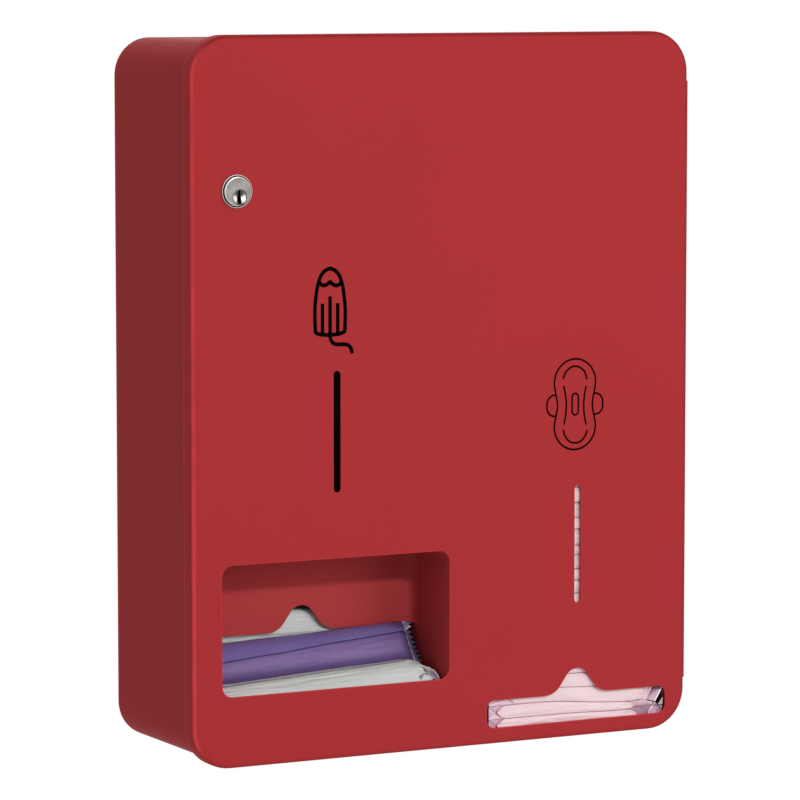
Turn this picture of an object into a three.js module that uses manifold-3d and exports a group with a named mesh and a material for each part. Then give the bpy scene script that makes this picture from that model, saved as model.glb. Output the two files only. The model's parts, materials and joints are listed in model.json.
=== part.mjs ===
// Wall dispenser for wrapped tampons and wrapped pads.
// Lengths are millimetres. +X runs to the right seen from the front, +Y into the wall, +Z up.
// The origin is the middle of the wall face, so the cabinet's front looks along -Y.
import * as THREE from 'three';
import { mergeVertices } from 'three/addons/utils/BufferGeometryUtils.js';
import Module from 'manifold-3d';

const wasm = await Module();
wasm.setup();

// Driving dimensions of the whole object
const doorWidth = 300;
const doorHeight = 384;
const overallDepth = 100;
const doorCornerRadius = 22;
const doorBendRadius = 3;
const doorFlangeDepth = 11;
const sheet = 1.2;

// Clearances
const seatGap = 0.3;
const sideClearance = 0.6;
const endClearance = 1.5;
const doorStandOff = 2.4;
const runningGap = 0.4;

// Cabinet
const lipWidth = 9;
const backPlate = 1.5;
const keyholeSpacing = 210;
const keyholeDrop = 42;
const keyholeHeadRadius = 5;
const keyholeNeckWidth = 5.5;
const keyholeTravel = 10;
const lowerHoleRadius = 3;
const lowerHoleRise = 42;

// Tampon window and recess
const tamponWindowMargin = 17;
const tamponWindowWidth = 135;
const tamponWindowRise = 38;
const tamponWindowHeight = 69.5;
const tamponWindowRadius = 6;
const recessDepth = 43;
const recessFillet = 7;
const linerWall = 1.5;
const throatRise = 63;

// Thumb notch, the same curve in the door and in the recess
const notchHeight = 14;
const notchTopRadius = 8;
const notchFootRadius = 11.5;
const notchHalfSpan = 20;

// Tampon tray
const trayFootRise = 15.6;
const traySlope = THREE.MathUtils.degToRad(30.2);
const trayLipDrop = 1.5;

// Pad window
const padWindowMargin = 12.6;
const windowSpacing = 23.2;
const padWindowRise = 8.8;
const padWindowHeight = 15;
const padWindowRadius = 4.5;
const windowSideMargin = 0.7;

// Sight slots
const tamponSlotRise = 142.5;
const tamponSlotLength = 64.7;
const tamponSlotWidth = 4.3;
const padSlotRise = 74;
const padSlotLength = 64.2;
const padSlotWidth = 3.9;
const innerSlotWidth = 8;

// Magazines and their studs
const magazineTopDrop = 72;
const studRadius = 2;
const studLength = 5.7;
const studEdgeDistance = 30;
const nutAcrossFlats = 7;
const nutHeight = 3.2;

// Hinge
const hingeLength = 330;
const knuckleCount = 11;
const knuckleRadius = 2;
const hingePinRadius = 1;
const pinClearance = 0.25;
const leafThickness = 0.9;
const cabinetLeafWidth = 16;
const knuckleSetBack = 0.5;
const pinHeadHeight = 1;

// Lock, whose plug lies below and beside the middle of its round face
const lockMargin = 26.1;
const lockDrop = 80.8;
const bezelRadius = 8.7;
const bezelThickness = 0.6;
const faceRadius = 7.7;
const faceHeight = 1.3;
const faceChamfer = 0.5;
const barrelRadius = 7.6;
const barrelLength = 17;
const plugRadius = 3.9;
const plugDrop = 2.9;
const plugSideways = 0.8;
const plugRecess = 0.1;
const dishRadius = 3.7;
const dishFloorRadius = 1.5;
const dishDepth = 1.1;
const keyWidth = 1.4;
const keyHeight = 7.4;
const keyDepth = 12;
const keyFootWidth = 2.2;
const keyFootHeight = 4.3;
const spigotWidth = 4.8;
const lockNutAcrossFlats = 20;
const lockNutHeight = 3.5;
const camThickness = 2;
const camReach = 20;
const camWidth = 12;
const camScrewRadius = 1.5;
const camScrewLength = 9;
const camScrewHeadRadius = 4;
const camScrewHeadHeight = 2.2;

// Strike bracket behind which the cam turns
const strikeLength = 24;
const strikeReach = 12.7;
const strikeFootLength = 18;

// Rubber bumpers
const bumperRadius = 3.2;
const bumperRise = 42;

// Wrapped tampons
const tamponSideGap = 1.5;
const tamponRadius = 9.8;
const tamponSealWidth = 26;
const tamponSealLength = 5;
const tamponTaper = 12;
const filmThickness = 0.9;
const tamponPitch = 24;
const leaningTilt = THREE.MathUtils.degToRad(50);

// Wrapped pads
const padCount = 19;
const padThickness = 7;
const padLeftTail = 5;
const padRightTail = 17;
const padTailInset = 4;
const padSideGap = 2.1;
const padFrontGap = 0.9;
const padBackGap = 2.7;

// Curve steps
const cornerSteps = 9;
const bendSteps = 4;
const roundSteps = 20;
const curveSteps = 8;
const quarter = Math.PI / 2;
const cutOverrun = 3;
const leastRadius = 0.2;

// Faces that the pieces share
const doorLeft = -doorWidth / 2;
const doorRight = doorWidth / 2;
const doorBottom = -doorHeight / 2;
const doorTop = doorHeight / 2;
const frontY = -overallDepth;
const doorInnerY = frontY + sheet;
const doorRimY = frontY + doorFlangeDepth;
const cabinetBox = {
  left: doorLeft + sheet + sideClearance,
  right: doorRight - sheet - sideClearance,
  bottom: doorBottom + sheet + endClearance,
  top: doorTop - sheet - endClearance,
  radius: doorCornerRadius - sheet - sideClearance,
};
const cabinetFrontY = doorInnerY + doorStandOff;
const cabinetFloorZ = cabinetBox.bottom + sheet;

const tamponWindow = {
  left: doorLeft + tamponWindowMargin,
  right: doorLeft + tamponWindowMargin + tamponWindowWidth,
  bottom: doorBottom + tamponWindowRise,
  top: doorBottom + tamponWindowRise + tamponWindowHeight,
  radius: tamponWindowRadius,
};
const padWindow = {
  left: tamponWindow.right + windowSpacing,
  right: doorRight - padWindowMargin,
  bottom: doorBottom + padWindowRise,
  top: doorBottom + padWindowRise + padWindowHeight,
  radius: padWindowRadius,
};
const tamponCentreX = (tamponWindow.left + tamponWindow.right) / 2;
const padCentreX = (padWindow.left + padWindow.right) / 2;
const recessBackY = frontY + recessDepth;
const linerRimY = doorInnerY + runningGap;
const magazineTopZ = doorTop - magazineTopDrop;
const magazineFrontY = cabinetFrontY + sheet + seatGap;
const channelBackY = -backPlate - seatGap;
const channelInnerY = channelBackY - sheet;
const studEndY = -backPlate - studLength;

// The recess liner's outside, and the tampon channel's inside round it
const linerBox = {
  left: tamponWindow.left - seatGap - linerWall,
  right: tamponWindow.right + seatGap + linerWall,
  bottom: doorBottom,
  top: tamponWindow.top + seatGap + linerWall,
  radius: tamponWindowRadius + linerWall,
};
const tamponChannelLeft = linerBox.left - seatGap;
const tamponChannelRight = linerBox.right + seatGap;
const padChannelLeft = padWindow.left - windowSideMargin;
const padChannelRight = padWindow.right + windowSideMargin;

// Height of the cabinet's inner floor at a place along X, which rises in the round corners
function floorZ(x) {
  const radius = cabinetBox.radius - sheet;
  const over = Math.max(Math.abs(x) - (cabinetBox.right - cabinetBox.radius), 0);
  return cabinetFloorZ + radius - Math.sqrt(Math.max(radius * radius - over * over, 0));
}

function channelFootZ(left, right) {
  return Math.max(floorZ(left - sheet), floorZ(right + sheet)) + seatGap + runningGap;
}

const tamponFootZ = channelFootZ(tamponChannelLeft, tamponChannelRight);
const padFootZ = channelFootZ(padChannelLeft, padChannelRight);

// Height of the tray's upper face at a place along Y
function trayZ(y) {
  return doorBottom + trayFootRise + Math.tan(traySlope) * (y - frontY);
}

// Materials
const redPaint = new THREE.MeshStandardMaterial({ color: 0xa63638, roughness: 0.38, metalness: 0 });
const zincSteel = new THREE.MeshStandardMaterial({ color: 0xa9adb0, roughness: 0.45, metalness: 0.9 });
const brightSteel = new THREE.MeshStandardMaterial({ color: 0xb9b8b4, roughness: 0.28, metalness: 1 });
const blackRubber = new THREE.MeshStandardMaterial({ color: 0x1c1c1e, roughness: 0.85, metalness: 0 });
const whiteFilm = new THREE.MeshStandardMaterial({ color: 0xdcdcdc, roughness: 0.4, metalness: 0 });
const violetFilm = new THREE.MeshStandardMaterial({ color: 0x75619a, roughness: 0.4, metalness: 0 });
const pinkFilm = new THREE.MeshStandardMaterial({ color: 0xe9cfd4, roughness: 0.5, metalness: 0 });

// Points of an upright box with round corners, anticlockwise from its right side
function roundedPoints(box, steps) {
  const radius = Math.max(box.radius, leastRadius);
  const centres = [
    [box.right - radius, box.top - radius],
    [box.left + radius, box.top - radius],
    [box.left + radius, box.bottom + radius],
    [box.right - radius, box.bottom + radius],
  ];
  const points = [];
  centres.forEach(([u, v], corner) => {
    for (let step = 0; step <= steps; step += 1) {
      const angle = quarter * (corner + step / steps);
      points.push([u + radius * Math.cos(angle), v + radius * Math.sin(angle)]);
    }
  });
  return points;
}

// The same box drawn in on all sides
function insetBox(box, inset) {
  return {
    left: box.left + inset,
    right: box.right - inset,
    bottom: box.bottom + inset,
    top: box.top - inset,
    radius: box.radius - inset,
  };
}

// A surface through equal loops of points, closed by end caps or back onto its first loop
function loft(loops, ring) {
  const count = loops[0].length;
  const positions = loops.flat(2);
  const triangles = [];
  const spans = ring ? loops.length : loops.length - 1;
  for (let span = 0; span < spans; span += 1) {
    const near = span * count;
    const far = ((span + 1) % loops.length) * count;
    for (let k = 0; k < count; k += 1) {
      const next = (k + 1) % count;
      triangles.push(near + k, far + k, near + next);
      triangles.push(near + next, far + k, far + next);
    }
  }
  if (!ring) {
    const last = (loops.length - 1) * count;
    for (let k = 1; k < count - 1; k += 1) {
      triangles.push(0, k, k + 1);
      triangles.push(last, last + k + 1, last + k);
    }
  }
  const geometry = new THREE.BufferGeometry();
  geometry.setAttribute('position', new THREE.Float32BufferAttribute(positions, 3));
  geometry.setIndex(triangles);
  return facingOut(geometry);
}

// Turns every triangle over when the closed surface faces inwards
function facingOut(geometry) {
  const index = geometry.getIndex().array;
  const position = geometry.getAttribute('position');
  const corner = [new THREE.Vector3(), new THREE.Vector3(), new THREE.Vector3()];
  let volume = 0;
  for (let t = 0; t < index.length; t += 3) {
    corner.forEach((point, k) => point.fromBufferAttribute(position, index[t + k]));
    volume += corner[0].dot(corner[1].clone().cross(corner[2]));
  }
  if (volume < 0) {
    for (let t = 0; t < index.length; t += 3) {
      [index[t], index[t + 1]] = [index[t + 1], index[t]];
    }
  }
  geometry.computeVertexNormals();
  return geometry;
}

// A loop in an upright plane across Y
function loopAcrossY(box, y, steps) {
  return roundedPoints(box, steps).map(([x, z]) => [x, y, z]);
}

// Closed mesh to solid, and back
function solid(geometry) {
  const bare = geometry.clone();
  bare.deleteAttribute('normal');
  bare.deleteAttribute('uv');
  const merged = mergeVertices(bare);
  return new wasm.Manifold(new wasm.Mesh({
    numProp: 3,
    vertProperties: new Float32Array(merged.getAttribute('position').array),
    triVerts: new Uint32Array(merged.getIndex().array),
  }));
}

function geometryOf(body) {
  const mesh = body.getMesh();
  const geometry = new THREE.BufferGeometry();
  geometry.setAttribute('position', new THREE.Float32BufferAttribute(mesh.vertProperties, 3));
  geometry.setIndex(Array.from(mesh.triVerts));
  geometry.computeVertexNormals();
  return geometry;
}

// A first shape with others added to it and others cut from it
function shaped(base, { add = [], cut = [] }) {
  let body = solid(base);
  add.forEach((geometry) => { body = body.add(solid(geometry)); });
  cut.forEach((geometry) => { body = body.subtract(solid(geometry)); });
  return geometryOf(body);
}

function block(x0, x1, y0, y1, z0, z1) {
  const geometry = new THREE.BoxGeometry(x1 - x0, y1 - y0, z1 - z0);
  return geometry.translate((x0 + x1) / 2, (y0 + y1) / 2, (z0 + z1) / 2);
}

// Outlines drawn in X-Z, Y-Z or X-Y and given thickness along the third axis
function prismAlongY(outline, y0, y1) {
  const geometry = new THREE.ExtrudeGeometry(outline, extrusion(y1 - y0));
  return geometry.rotateX(quarter).translate(0, y1, 0);
}

function prismAlongX(outline, x0, x1) {
  const geometry = new THREE.ExtrudeGeometry(outline, extrusion(x1 - x0));
  const turn = new THREE.Matrix4().makeBasis(
    new THREE.Vector3(0, 1, 0),
    new THREE.Vector3(0, 0, 1),
    new THREE.Vector3(1, 0, 0),
  );
  return geometry.applyMatrix4(turn).translate(x0, 0, 0);
}

function prismAlongZ(outline, z0, z1) {
  return new THREE.ExtrudeGeometry(outline, extrusion(z1 - z0)).translate(0, 0, z0);
}

function extrusion(depth) {
  return { depth, bevelEnabled: false, curveSegments: curveSteps };
}

function outlineOf(points) {
  return new THREE.Shape(points.map(([u, v]) => new THREE.Vector2(u, v)));
}

function rodAlongY(radius, y0, y1, x, z) {
  return coneAlongY(radius, radius, y0, y1, x, z);
}

function coneAlongY(radius0, radius1, y0, y1, x, z) {
  const geometry = new THREE.CylinderGeometry(radius1, radius0, y1 - y0, roundSteps);
  return geometry.translate(x, (y0 + y1) / 2, z);
}

function rodAlongZ(radius, z0, z1, x, y) {
  const geometry = new THREE.CylinderGeometry(radius, radius, z1 - z0, roundSteps);
  return geometry.rotateX(quarter).translate(x, y, (z0 + z1) / 2);
}

// Six-sided prism along Y, turned with a flat at its top
function hexAlongY(acrossFlats, y0, y1, x, z) {
  const radius = acrossFlats / 2 / Math.cos(Math.PI / 6);
  const geometry = new THREE.CylinderGeometry(radius, radius, y1 - y0, 6);
  return geometry.rotateY(Math.PI / 6).translate(x, (y0 + y1) / 2, z);
}

// A pressed pan: a flat face, a round bend and a straight wall up to the rim
function pan({ box, wall, bend, faceY, rimY }) {
  const side = Math.sign(rimY - faceY);
  const loops = [];
  for (let step = 0; step <= bendSteps; step += 1) {
    const angle = quarter * step / bendSteps;
    const inset = bend * (1 - Math.sin(angle));
    loops.push([insetBox(box, inset), faceY + side * bend * (1 - Math.cos(angle))]);
  }
  loops.push([box, rimY]);
  loops.push([insetBox(box, wall), rimY]);
  const innerBend = bend - wall;
  for (let step = bendSteps; step >= 0; step -= 1) {
    const angle = quarter * step / bendSteps;
    const inset = wall + innerBend * (1 - Math.sin(angle));
    loops.push([insetBox(box, inset), faceY + side * (wall + innerBend * (1 - Math.cos(angle)))]);
  }
  return loft(loops.map(([loopBox, y]) => loopAcrossY(loopBox, y, cornerSteps)), false);
}

// Upright slot with round ends
function slotOutline(x, bottom, length, width) {
  const half = width / 2;
  const outline = new THREE.Shape();
  outline.absarc(x, bottom + length - half, half, 0, Math.PI, false);
  outline.absarc(x, bottom + half, half, Math.PI, 2 * Math.PI, false);
  return outline;
}

// Adds the thumb notch to an outline that runs to the right along height z
function addNotch(outline, x, z) {
  const rise = notchHeight - notchTopRadius - notchFootRadius;
  const reach = Math.hypot(notchHalfSpan, rise);
  const lean = Math.asin(Math.min((notchTopRadius + notchFootRadius) / reach, 1));
  const climb = Math.atan2(rise, notchHalfSpan) + lean;
  const footZ = z + notchFootRadius;
  const topZ = z + notchHeight - notchTopRadius;
  outline.absarc(x - notchHalfSpan, footZ, notchFootRadius, -quarter, climb - quarter, false);
  outline.absarc(x, topZ, notchTopRadius, quarter + climb, quarter - climb, true);
  outline.absarc(x + notchHalfSpan, footZ, notchFootRadius, 3 * quarter - climb, 3 * quarter, false);
}

// Door: a shallow pan with its windows, slots and lock hole
const lockX = doorLeft + lockMargin;
const lockZ = doorTop - lockDrop;

function padWindowOutline() {
  const { left, right, bottom, top, radius } = padWindow;
  const outline = new THREE.Shape();
  outline.moveTo(left + radius, top);
  addNotch(outline, padCentreX, top);
  outline.absarc(right - radius, top - radius, radius, quarter, 0, true);
  outline.absarc(right - radius, bottom + radius, radius, 0, -quarter, true);
  outline.absarc(left + radius, bottom + radius, radius, -quarter, -2 * quarter, true);
  outline.absarc(left + radius, top - radius, radius, 2 * quarter, quarter, true);
  return outline;
}

function doorPanel() {
  const box = {
    left: doorLeft, right: doorRight, bottom: doorBottom, top: doorTop, radius: doorCornerRadius,
  };
  const y0 = frontY - cutOverrun;
  const y1 = doorInnerY + cutOverrun;
  const tamponSlotZ = doorBottom + tamponSlotRise;
  const padSlotZ = doorBottom + padSlotRise;
  return shaped(pan({ box, wall: sheet, bend: doorBendRadius, faceY: frontY, rimY: doorRimY }), {
    cut: [
      prismAlongY(outlineOf(roundedPoints(tamponWindow, curveSteps)), y0, y1),
      prismAlongY(padWindowOutline(), y0, y1),
      prismAlongY(slotOutline(tamponCentreX, tamponSlotZ, tamponSlotLength, tamponSlotWidth), y0, y1),
      prismAlongY(slotOutline(padCentreX, padSlotZ, padSlotLength, padSlotWidth), y0, y1),
      rodAlongY(barrelRadius + seatGap, y0, y1, lockX, lockZ),
    ],
  });
}

// Cabinet shell: a sleeve with round corners and a front edge turned inwards
function cabinetShell() {
  const rows = [
    [0, 0],
    [0, cabinetFrontY],
    [lipWidth, cabinetFrontY],
    [lipWidth, cabinetFrontY + sheet],
    [sheet, cabinetFrontY + sheet],
    [sheet, 0],
  ];
  const loops = rows.map(([inset, y]) => loopAcrossY(insetBox(cabinetBox, inset), y, cornerSteps));
  const lipGate = block(
    padChannelLeft, padChannelRight,
    cabinetFrontY - cutOverrun, cabinetFrontY + sheet + cutOverrun,
    cabinetFloorZ, padWindow.top,
  );
  return shaped(loft(loops, true), { cut: [solidWithin(lipGate)] });
}

// The part of a cutter that keeps clear of the shell's wall
function solidWithin(cutter) {
  const inner = insetBox(cabinetBox, sheet);
  const bay = prismAlongY(outlineOf(roundedPoints(inner, cornerSteps)), frontY, 0);
  return geometryOf(solid(cutter).intersect(solid(bay)));
}

// Back panel: plate with two keyholes, a lower hole and the weld studs of the magazines
const studPlaces = [
  [tamponCentreX, magazineTopZ - studEdgeDistance],
  [tamponCentreX, tamponFootZ + studEdgeDistance],
  [padCentreX, magazineTopZ - studEdgeDistance],
  [padCentreX, padFootZ + studEdgeDistance],
];

function keyholeOutline(x, z) {
  const half = keyholeNeckWidth / 2;
  const open = Math.asin(half / keyholeHeadRadius);
  const outline = new THREE.Shape();
  outline.absarc(x, z + keyholeTravel, half, 0, Math.PI, false);
  outline.absarc(x, z, keyholeHeadRadius, quarter + open, 5 * quarter - open, false);
  return outline;
}

function backPanel() {
  const box = insetBox(cabinetBox, sheet + seatGap);
  const plate = prismAlongY(outlineOf(roundedPoints(box, cornerSteps)), -backPlate, 0);
  const keyholeZ = doorTop - keyholeDrop;
  const betweenX = (tamponChannelRight + padChannelLeft) / 2;
  const studs = studPlaces.map(([x, z]) => (
    rodAlongY(studRadius, studEndY, -backPlate / 2, x, z)));
  const holes = [-keyholeSpacing / 2, keyholeSpacing / 2].map((x) => (
    prismAlongY(keyholeOutline(x, keyholeZ), -backPlate - cutOverrun, cutOverrun)));
  const lowerZ = doorBottom + lowerHoleRise;
  holes.push(rodAlongY(lowerHoleRadius, -backPlate - cutOverrun, cutOverrun, betweenX, lowerZ));
  return shaped(plate, { add: studs, cut: holes });
}

// Magazine channels: a back against the panel and two side walls
function channelOutline(left, right, openY) {
  return outlineOf([
    [left - sheet, channelBackY],
    [left - sheet, openY],
    [left, openY],
    [left, channelInnerY],
    [right, channelInnerY],
    [right, openY],
    [right + sheet, openY],
    [right + sheet, channelBackY],
  ]);
}

function studHoles(x) {
  return studPlaces.filter(([studX]) => studX === x).map(([, z]) => (
    rodAlongY(studRadius + seatGap, channelInnerY - cutOverrun, channelBackY + cutOverrun, x, z)));
}

const columnFrontY = recessBackY - seatGap;

function tamponChannel() {
  const outline = channelOutline(tamponChannelLeft, tamponChannelRight, magazineFrontY);
  const aboveRecess = block(
    tamponChannelLeft - sheet - cutOverrun, tamponChannelRight + sheet + cutOverrun,
    magazineFrontY - cutOverrun, columnFrontY,
    linerBox.top + sheet, magazineTopZ + cutOverrun,
  );
  return shaped(prismAlongZ(outline, tamponFootZ, magazineTopZ), {
    cut: [aboveRecess, ...studHoles(tamponCentreX)],
  });
}

function padChannel() {
  const outline = channelOutline(padChannelLeft, padChannelRight, magazineFrontY);
  return shaped(prismAlongZ(outline, padFootZ, magazineTopZ), { cut: studHoles(padCentreX) });
}

// Front wall of the tampon column, with a foot on the liner and a sight slot in line with the door's
function tamponFrontPlate() {
  const footZ = linerBox.top + seatGap;
  const backY = recessBackY + linerWall;
  const faceY = backY - sheet;
  const outline = outlineOf([
    [backY, magazineTopZ],
    [faceY, magazineTopZ],
    [faceY, footZ + sheet],
    [faceY - lipWidth, footZ + sheet],
    [faceY - lipWidth, footZ],
    [backY, footZ],
  ]);
  const slotZ = doorBottom + tamponSlotRise;
  const slot = slotOutline(tamponCentreX, slotZ, tamponSlotLength, innerSlotWidth);
  return shaped(prismAlongX(outline, linerBox.left, linerBox.right), {
    cut: [prismAlongY(slot, faceY - cutOverrun, backY + cutOverrun)],
  });
}

// Recess liner: a pan open to the front, cut off above the tray, with a notched throat in its back.
// Beside the throat its side walls run straight on as cheeks.
function recessLiner() {
  const lipZ = tamponWindow.bottom - trayLipDrop + seatGap;
  const lipBackY = linerRimY + sheet + seatGap;
  const rearY = recessBackY + linerWall + cutOverrun;
  const lowZ = doorBottom;
  const belowTray = outlineOf([
    [linerRimY - cutOverrun, lipZ],
    [lipBackY, lipZ],
    [lipBackY, trayZ(lipBackY) + seatGap],
    [rearY, trayZ(rearY) + seatGap],
    [rearY, lowZ],
    [linerRimY - cutOverrun, lowZ],
  ]);
  const throatZ = doorBottom + throatRise;
  const innerLeft = linerBox.left + linerWall;
  const innerRight = linerBox.right - linerWall;
  const throat = new THREE.Shape();
  throat.moveTo(innerLeft, lowZ);
  throat.lineTo(innerLeft, throatZ);
  addNotch(throat, tamponCentreX, throatZ);
  throat.lineTo(innerRight, throatZ);
  throat.lineTo(innerRight, lowZ);
  const bendY = recessBackY - recessFillet;
  const backY = recessBackY + linerWall;
  const cheeks = [
    block(linerBox.left, innerLeft, bendY - linerWall, backY, lowZ, throatZ),
    block(innerRight, linerBox.right, bendY - linerWall, backY, lowZ, throatZ),
  ];
  const bend = recessFillet + linerWall;
  const body = pan({ box: linerBox, wall: linerWall, bend, faceY: backY, rimY: linerRimY });
  return shaped(body, {
    add: cheeks,
    cut: [
      prismAlongX(belowTray, linerBox.left - cutOverrun, linerBox.right + cutOverrun),
      prismAlongY(throat, bendY, rearY),
    ],
  });
}

// Tampon tray: sloping sheet with an upturned front lip
function tamponTray() {
  const lipZ = tamponWindow.bottom - trayLipDrop;
  const lipFaceY = linerRimY;
  const lipBackY = linerRimY + sheet;
  const rearY = channelInnerY - seatGap;
  const drop = sheet / Math.cos(traySlope);
  const outline = outlineOf([
    [lipFaceY, lipZ],
    [lipFaceY, trayZ(lipFaceY) - drop],
    [rearY, trayZ(rearY) - drop],
    [rearY, trayZ(rearY)],
    [lipBackY, trayZ(lipBackY)],
    [lipBackY, lipZ],
  ]);
  return prismAlongX(outline, linerBox.left, linerBox.right);
}

// Pad tray: floor between the channel's walls, short of the cabinet's round corner
const padTrayZ = cabinetFloorZ + seatGap + sheet;

function padTray() {
  const left = padChannelLeft + seatGap;
  const right = Math.min(padChannelRight - seatGap, cabinetBox.right - cabinetBox.radius);
  const z0 = padTrayZ - sheet;
  return block(left, right, magazineFrontY, channelInnerY - seatGap, z0, padTrayZ);
}

// Hexagon nut on a weld stud
function channelNut([x, z]) {
  const y1 = channelInnerY - seatGap;
  const y0 = y1 - nutHeight;
  const bore = rodAlongY(studRadius + seatGap, y0 - cutOverrun, y1 + cutOverrun, x, z);
  return shaped(hexAlongY(nutAcrossFlats, y0, y1, x, z), { cut: [bore] });
}

// Hinge: knuckles along a pin just behind the door's flange, outside the cabinet's right wall
const hingeX = cabinetBox.right + seatGap + knuckleRadius;
const hingeY = doorRimY + knuckleSetBack + knuckleRadius;
const knucklePitch = hingeLength / knuckleCount;
const pinBoreRadius = hingePinRadius + pinClearance;

function knuckleSpan(index) {
  const z0 = -hingeLength / 2 + index * knucklePitch;
  return [z0 + runningGap / 2, z0 + knucklePitch - runningGap / 2];
}

// One leaf with the knuckles of the given parity, cut back beside the other leaf's knuckles
function hingeLeaf(plate, parity) {
  const knuckles = [];
  const gates = [];
  for (let index = 0; index < knuckleCount; index += 1) {
    const [z0, z1] = knuckleSpan(index);
    const own = index % 2 === parity;
    if (own) {
      knuckles.push(rodAlongZ(knuckleRadius, z0, z1, hingeX, hingeY));
    } else {
      const reach = knuckleRadius + runningGap;
      gates.push(block(
        hingeX - reach, hingeX + reach, hingeY - reach, hingeY + reach, z0 - runningGap, z1 + runningGap,
      ));
    }
  }
  const half = hingeLength / 2;
  const bore = rodAlongZ(pinBoreRadius, -half - cutOverrun, half + cutOverrun, hingeX, hingeY);
  return shaped(plate, { add: knuckles, cut: [...gates, bore] });
}

function cabinetHingeLeaf() {
  const x0 = cabinetBox.right + seatGap;
  const half = hingeLength / 2 - runningGap / 2;
  return hingeLeaf(block(x0, x0 + leafThickness, hingeY, hingeY + cabinetLeafWidth, -half, half), 0);
}

function doorHingeLeaf() {
  const x0 = doorRight + seatGap;
  const half = hingeLength / 2 - runningGap / 2;
  const y0 = frontY + doorBendRadius;
  return hingeLeaf(block(x0, x0 + leafThickness, y0, hingeY - pinBoreRadius / 2, -half, half), 1);
}

function hingePin() {
  const half = hingeLength / 2 + seatGap;
  const rod = rodAlongZ(hingePinRadius, -half, half, hingeX, hingeY);
  const heads = [-1, 1].map((end) => {
    const near = end * half;
    const far = end * (half + pinHeadHeight);
    return rodAlongZ(knuckleRadius, Math.min(near, far), Math.max(near, far), hingeX, hingeY);
  });
  return shaped(rod, { add: heads });
}

// Cam lock: housing with a flat round face, dished plug with its keyway, cam, nut and screw
const plugX = lockX + plugSideways;
const plugZ = lockZ - plugDrop;
const bezelBackY = frontY - seatGap;
const bezelFrontY = bezelBackY - bezelThickness;
const faceY = bezelFrontY - faceHeight;
const plugFaceY = faceY + plugRecess;
const barrelEndY = frontY + barrelLength;
const camFrontY = barrelEndY + runningGap;
const camBackY = camFrontY + camThickness;

function lockHousing() {
  const face = rodAlongY(faceRadius, faceY + faceChamfer, bezelBackY, lockX, lockZ);
  const chamfer = coneAlongY(faceRadius - faceChamfer, faceRadius, faceY, faceY + faceChamfer, lockX, lockZ);
  const barrel = rodAlongY(barrelRadius, bezelFrontY, barrelEndY, lockX, lockZ);
  const bezel = rodAlongY(bezelRadius, bezelFrontY, bezelBackY, lockX, lockZ);
  const bore = rodAlongY(plugRadius + seatGap, faceY - cutOverrun, barrelEndY + cutOverrun, plugX, plugZ);
  return shaped(bezel, { add: [face, chamfer, barrel], cut: [bore] });
}

function lockPlug() {
  const barrel = rodAlongY(plugRadius, plugFaceY, barrelEndY, plugX, plugZ);
  const half = spigotWidth / 2;
  const spigot = block(
    plugX - half, plugX + half, barrelEndY - runningGap, camBackY - seatGap, plugZ - half, plugZ + half,
  );
  const flare = (dishRadius - dishFloorRadius) / dishDepth;
  const y0 = plugFaceY - cutOverrun;
  const dish = coneAlongY(
    dishRadius + flare * cutOverrun, dishFloorRadius, y0, plugFaceY + dishDepth, plugX, plugZ,
  );
  const slotBottom = plugZ - keyHeight / 2;
  const keyBackY = plugFaceY + keyDepth;
  const keyway = block(
    plugX - keyWidth / 2, plugX + keyWidth / 2, y0, keyBackY, slotBottom, slotBottom + keyHeight,
  );
  const foot = block(
    plugX - keyFootWidth / 2, plugX + keyFootWidth / 2, y0, keyBackY, slotBottom, slotBottom + keyFootHeight,
  );
  const screwHole = rodAlongY(
    camScrewRadius + seatGap, camBackY - camScrewLength - seatGap, camBackY + cutOverrun, plugX, plugZ,
  );
  return shaped(barrel, { add: [spigot], cut: [dish, keyway, foot, screwHole] });
}

function lockNut() {
  const y0 = doorInnerY + seatGap;
  const y1 = y0 + lockNutHeight;
  const bore = rodAlongY(barrelRadius + seatGap, y0 - cutOverrun, y1 + cutOverrun, lockX, lockZ);
  return shaped(hexAlongY(lockNutAcrossFlats, y0, y1, lockX, lockZ), { cut: [bore] });
}

function lockCam() {
  const half = camWidth / 2;
  const outline = new THREE.Shape();
  outline.absarc(plugX, plugZ, half, 0, Math.PI, false);
  outline.absarc(plugX, plugZ - camReach + half, half, Math.PI, 2 * Math.PI, false);
  const square = spigotWidth / 2 + seatGap;
  const hole = block(
    plugX - square, plugX + square,
    camFrontY - cutOverrun, camBackY + cutOverrun,
    plugZ - square, plugZ + square,
  );
  return shaped(prismAlongY(outline, camFrontY, camBackY), { cut: [hole] });
}

function camScrew() {
  const headY = camBackY + seatGap;
  const shank = rodAlongY(camScrewRadius, camBackY - camScrewLength, headY + seatGap, plugX, plugZ);
  const head = rodAlongY(camScrewHeadRadius, headY, headY + camScrewHeadHeight, plugX, plugZ);
  return shaped(shank, { add: [head] });
}

// Strike bracket: an angle on the left wall whose tab stands just in front of the turned cam
function strikeBracket() {
  const x0 = cabinetBox.left + sheet + seatGap;
  const tabBackY = camFrontY - runningGap;
  const tabFrontY = tabBackY - sheet;
  const outline = outlineOf([
    [x0, tabFrontY],
    [x0 + strikeReach, tabFrontY],
    [x0 + strikeReach, tabBackY],
    [x0 + sheet, tabBackY],
    [x0 + sheet, tabFrontY + strikeFootLength],
    [x0, tabFrontY + strikeFootLength],
  ]);
  return prismAlongZ(outline, plugZ - strikeLength / 2, plugZ + strikeLength / 2);
}

// Rubber bumper on the cabinet's turned-in edge
function doorBumper(side, end) {
  const x = side * ((cabinetBox.right - cabinetBox.left) / 2 - lipWidth / 2);
  const z = end * ((cabinetBox.top - cabinetBox.bottom) / 2 - bumperRise);
  return rodAlongY(bumperRadius, doorInnerY + seatGap, cabinetFrontY - seatGap, x, z);
}

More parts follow.
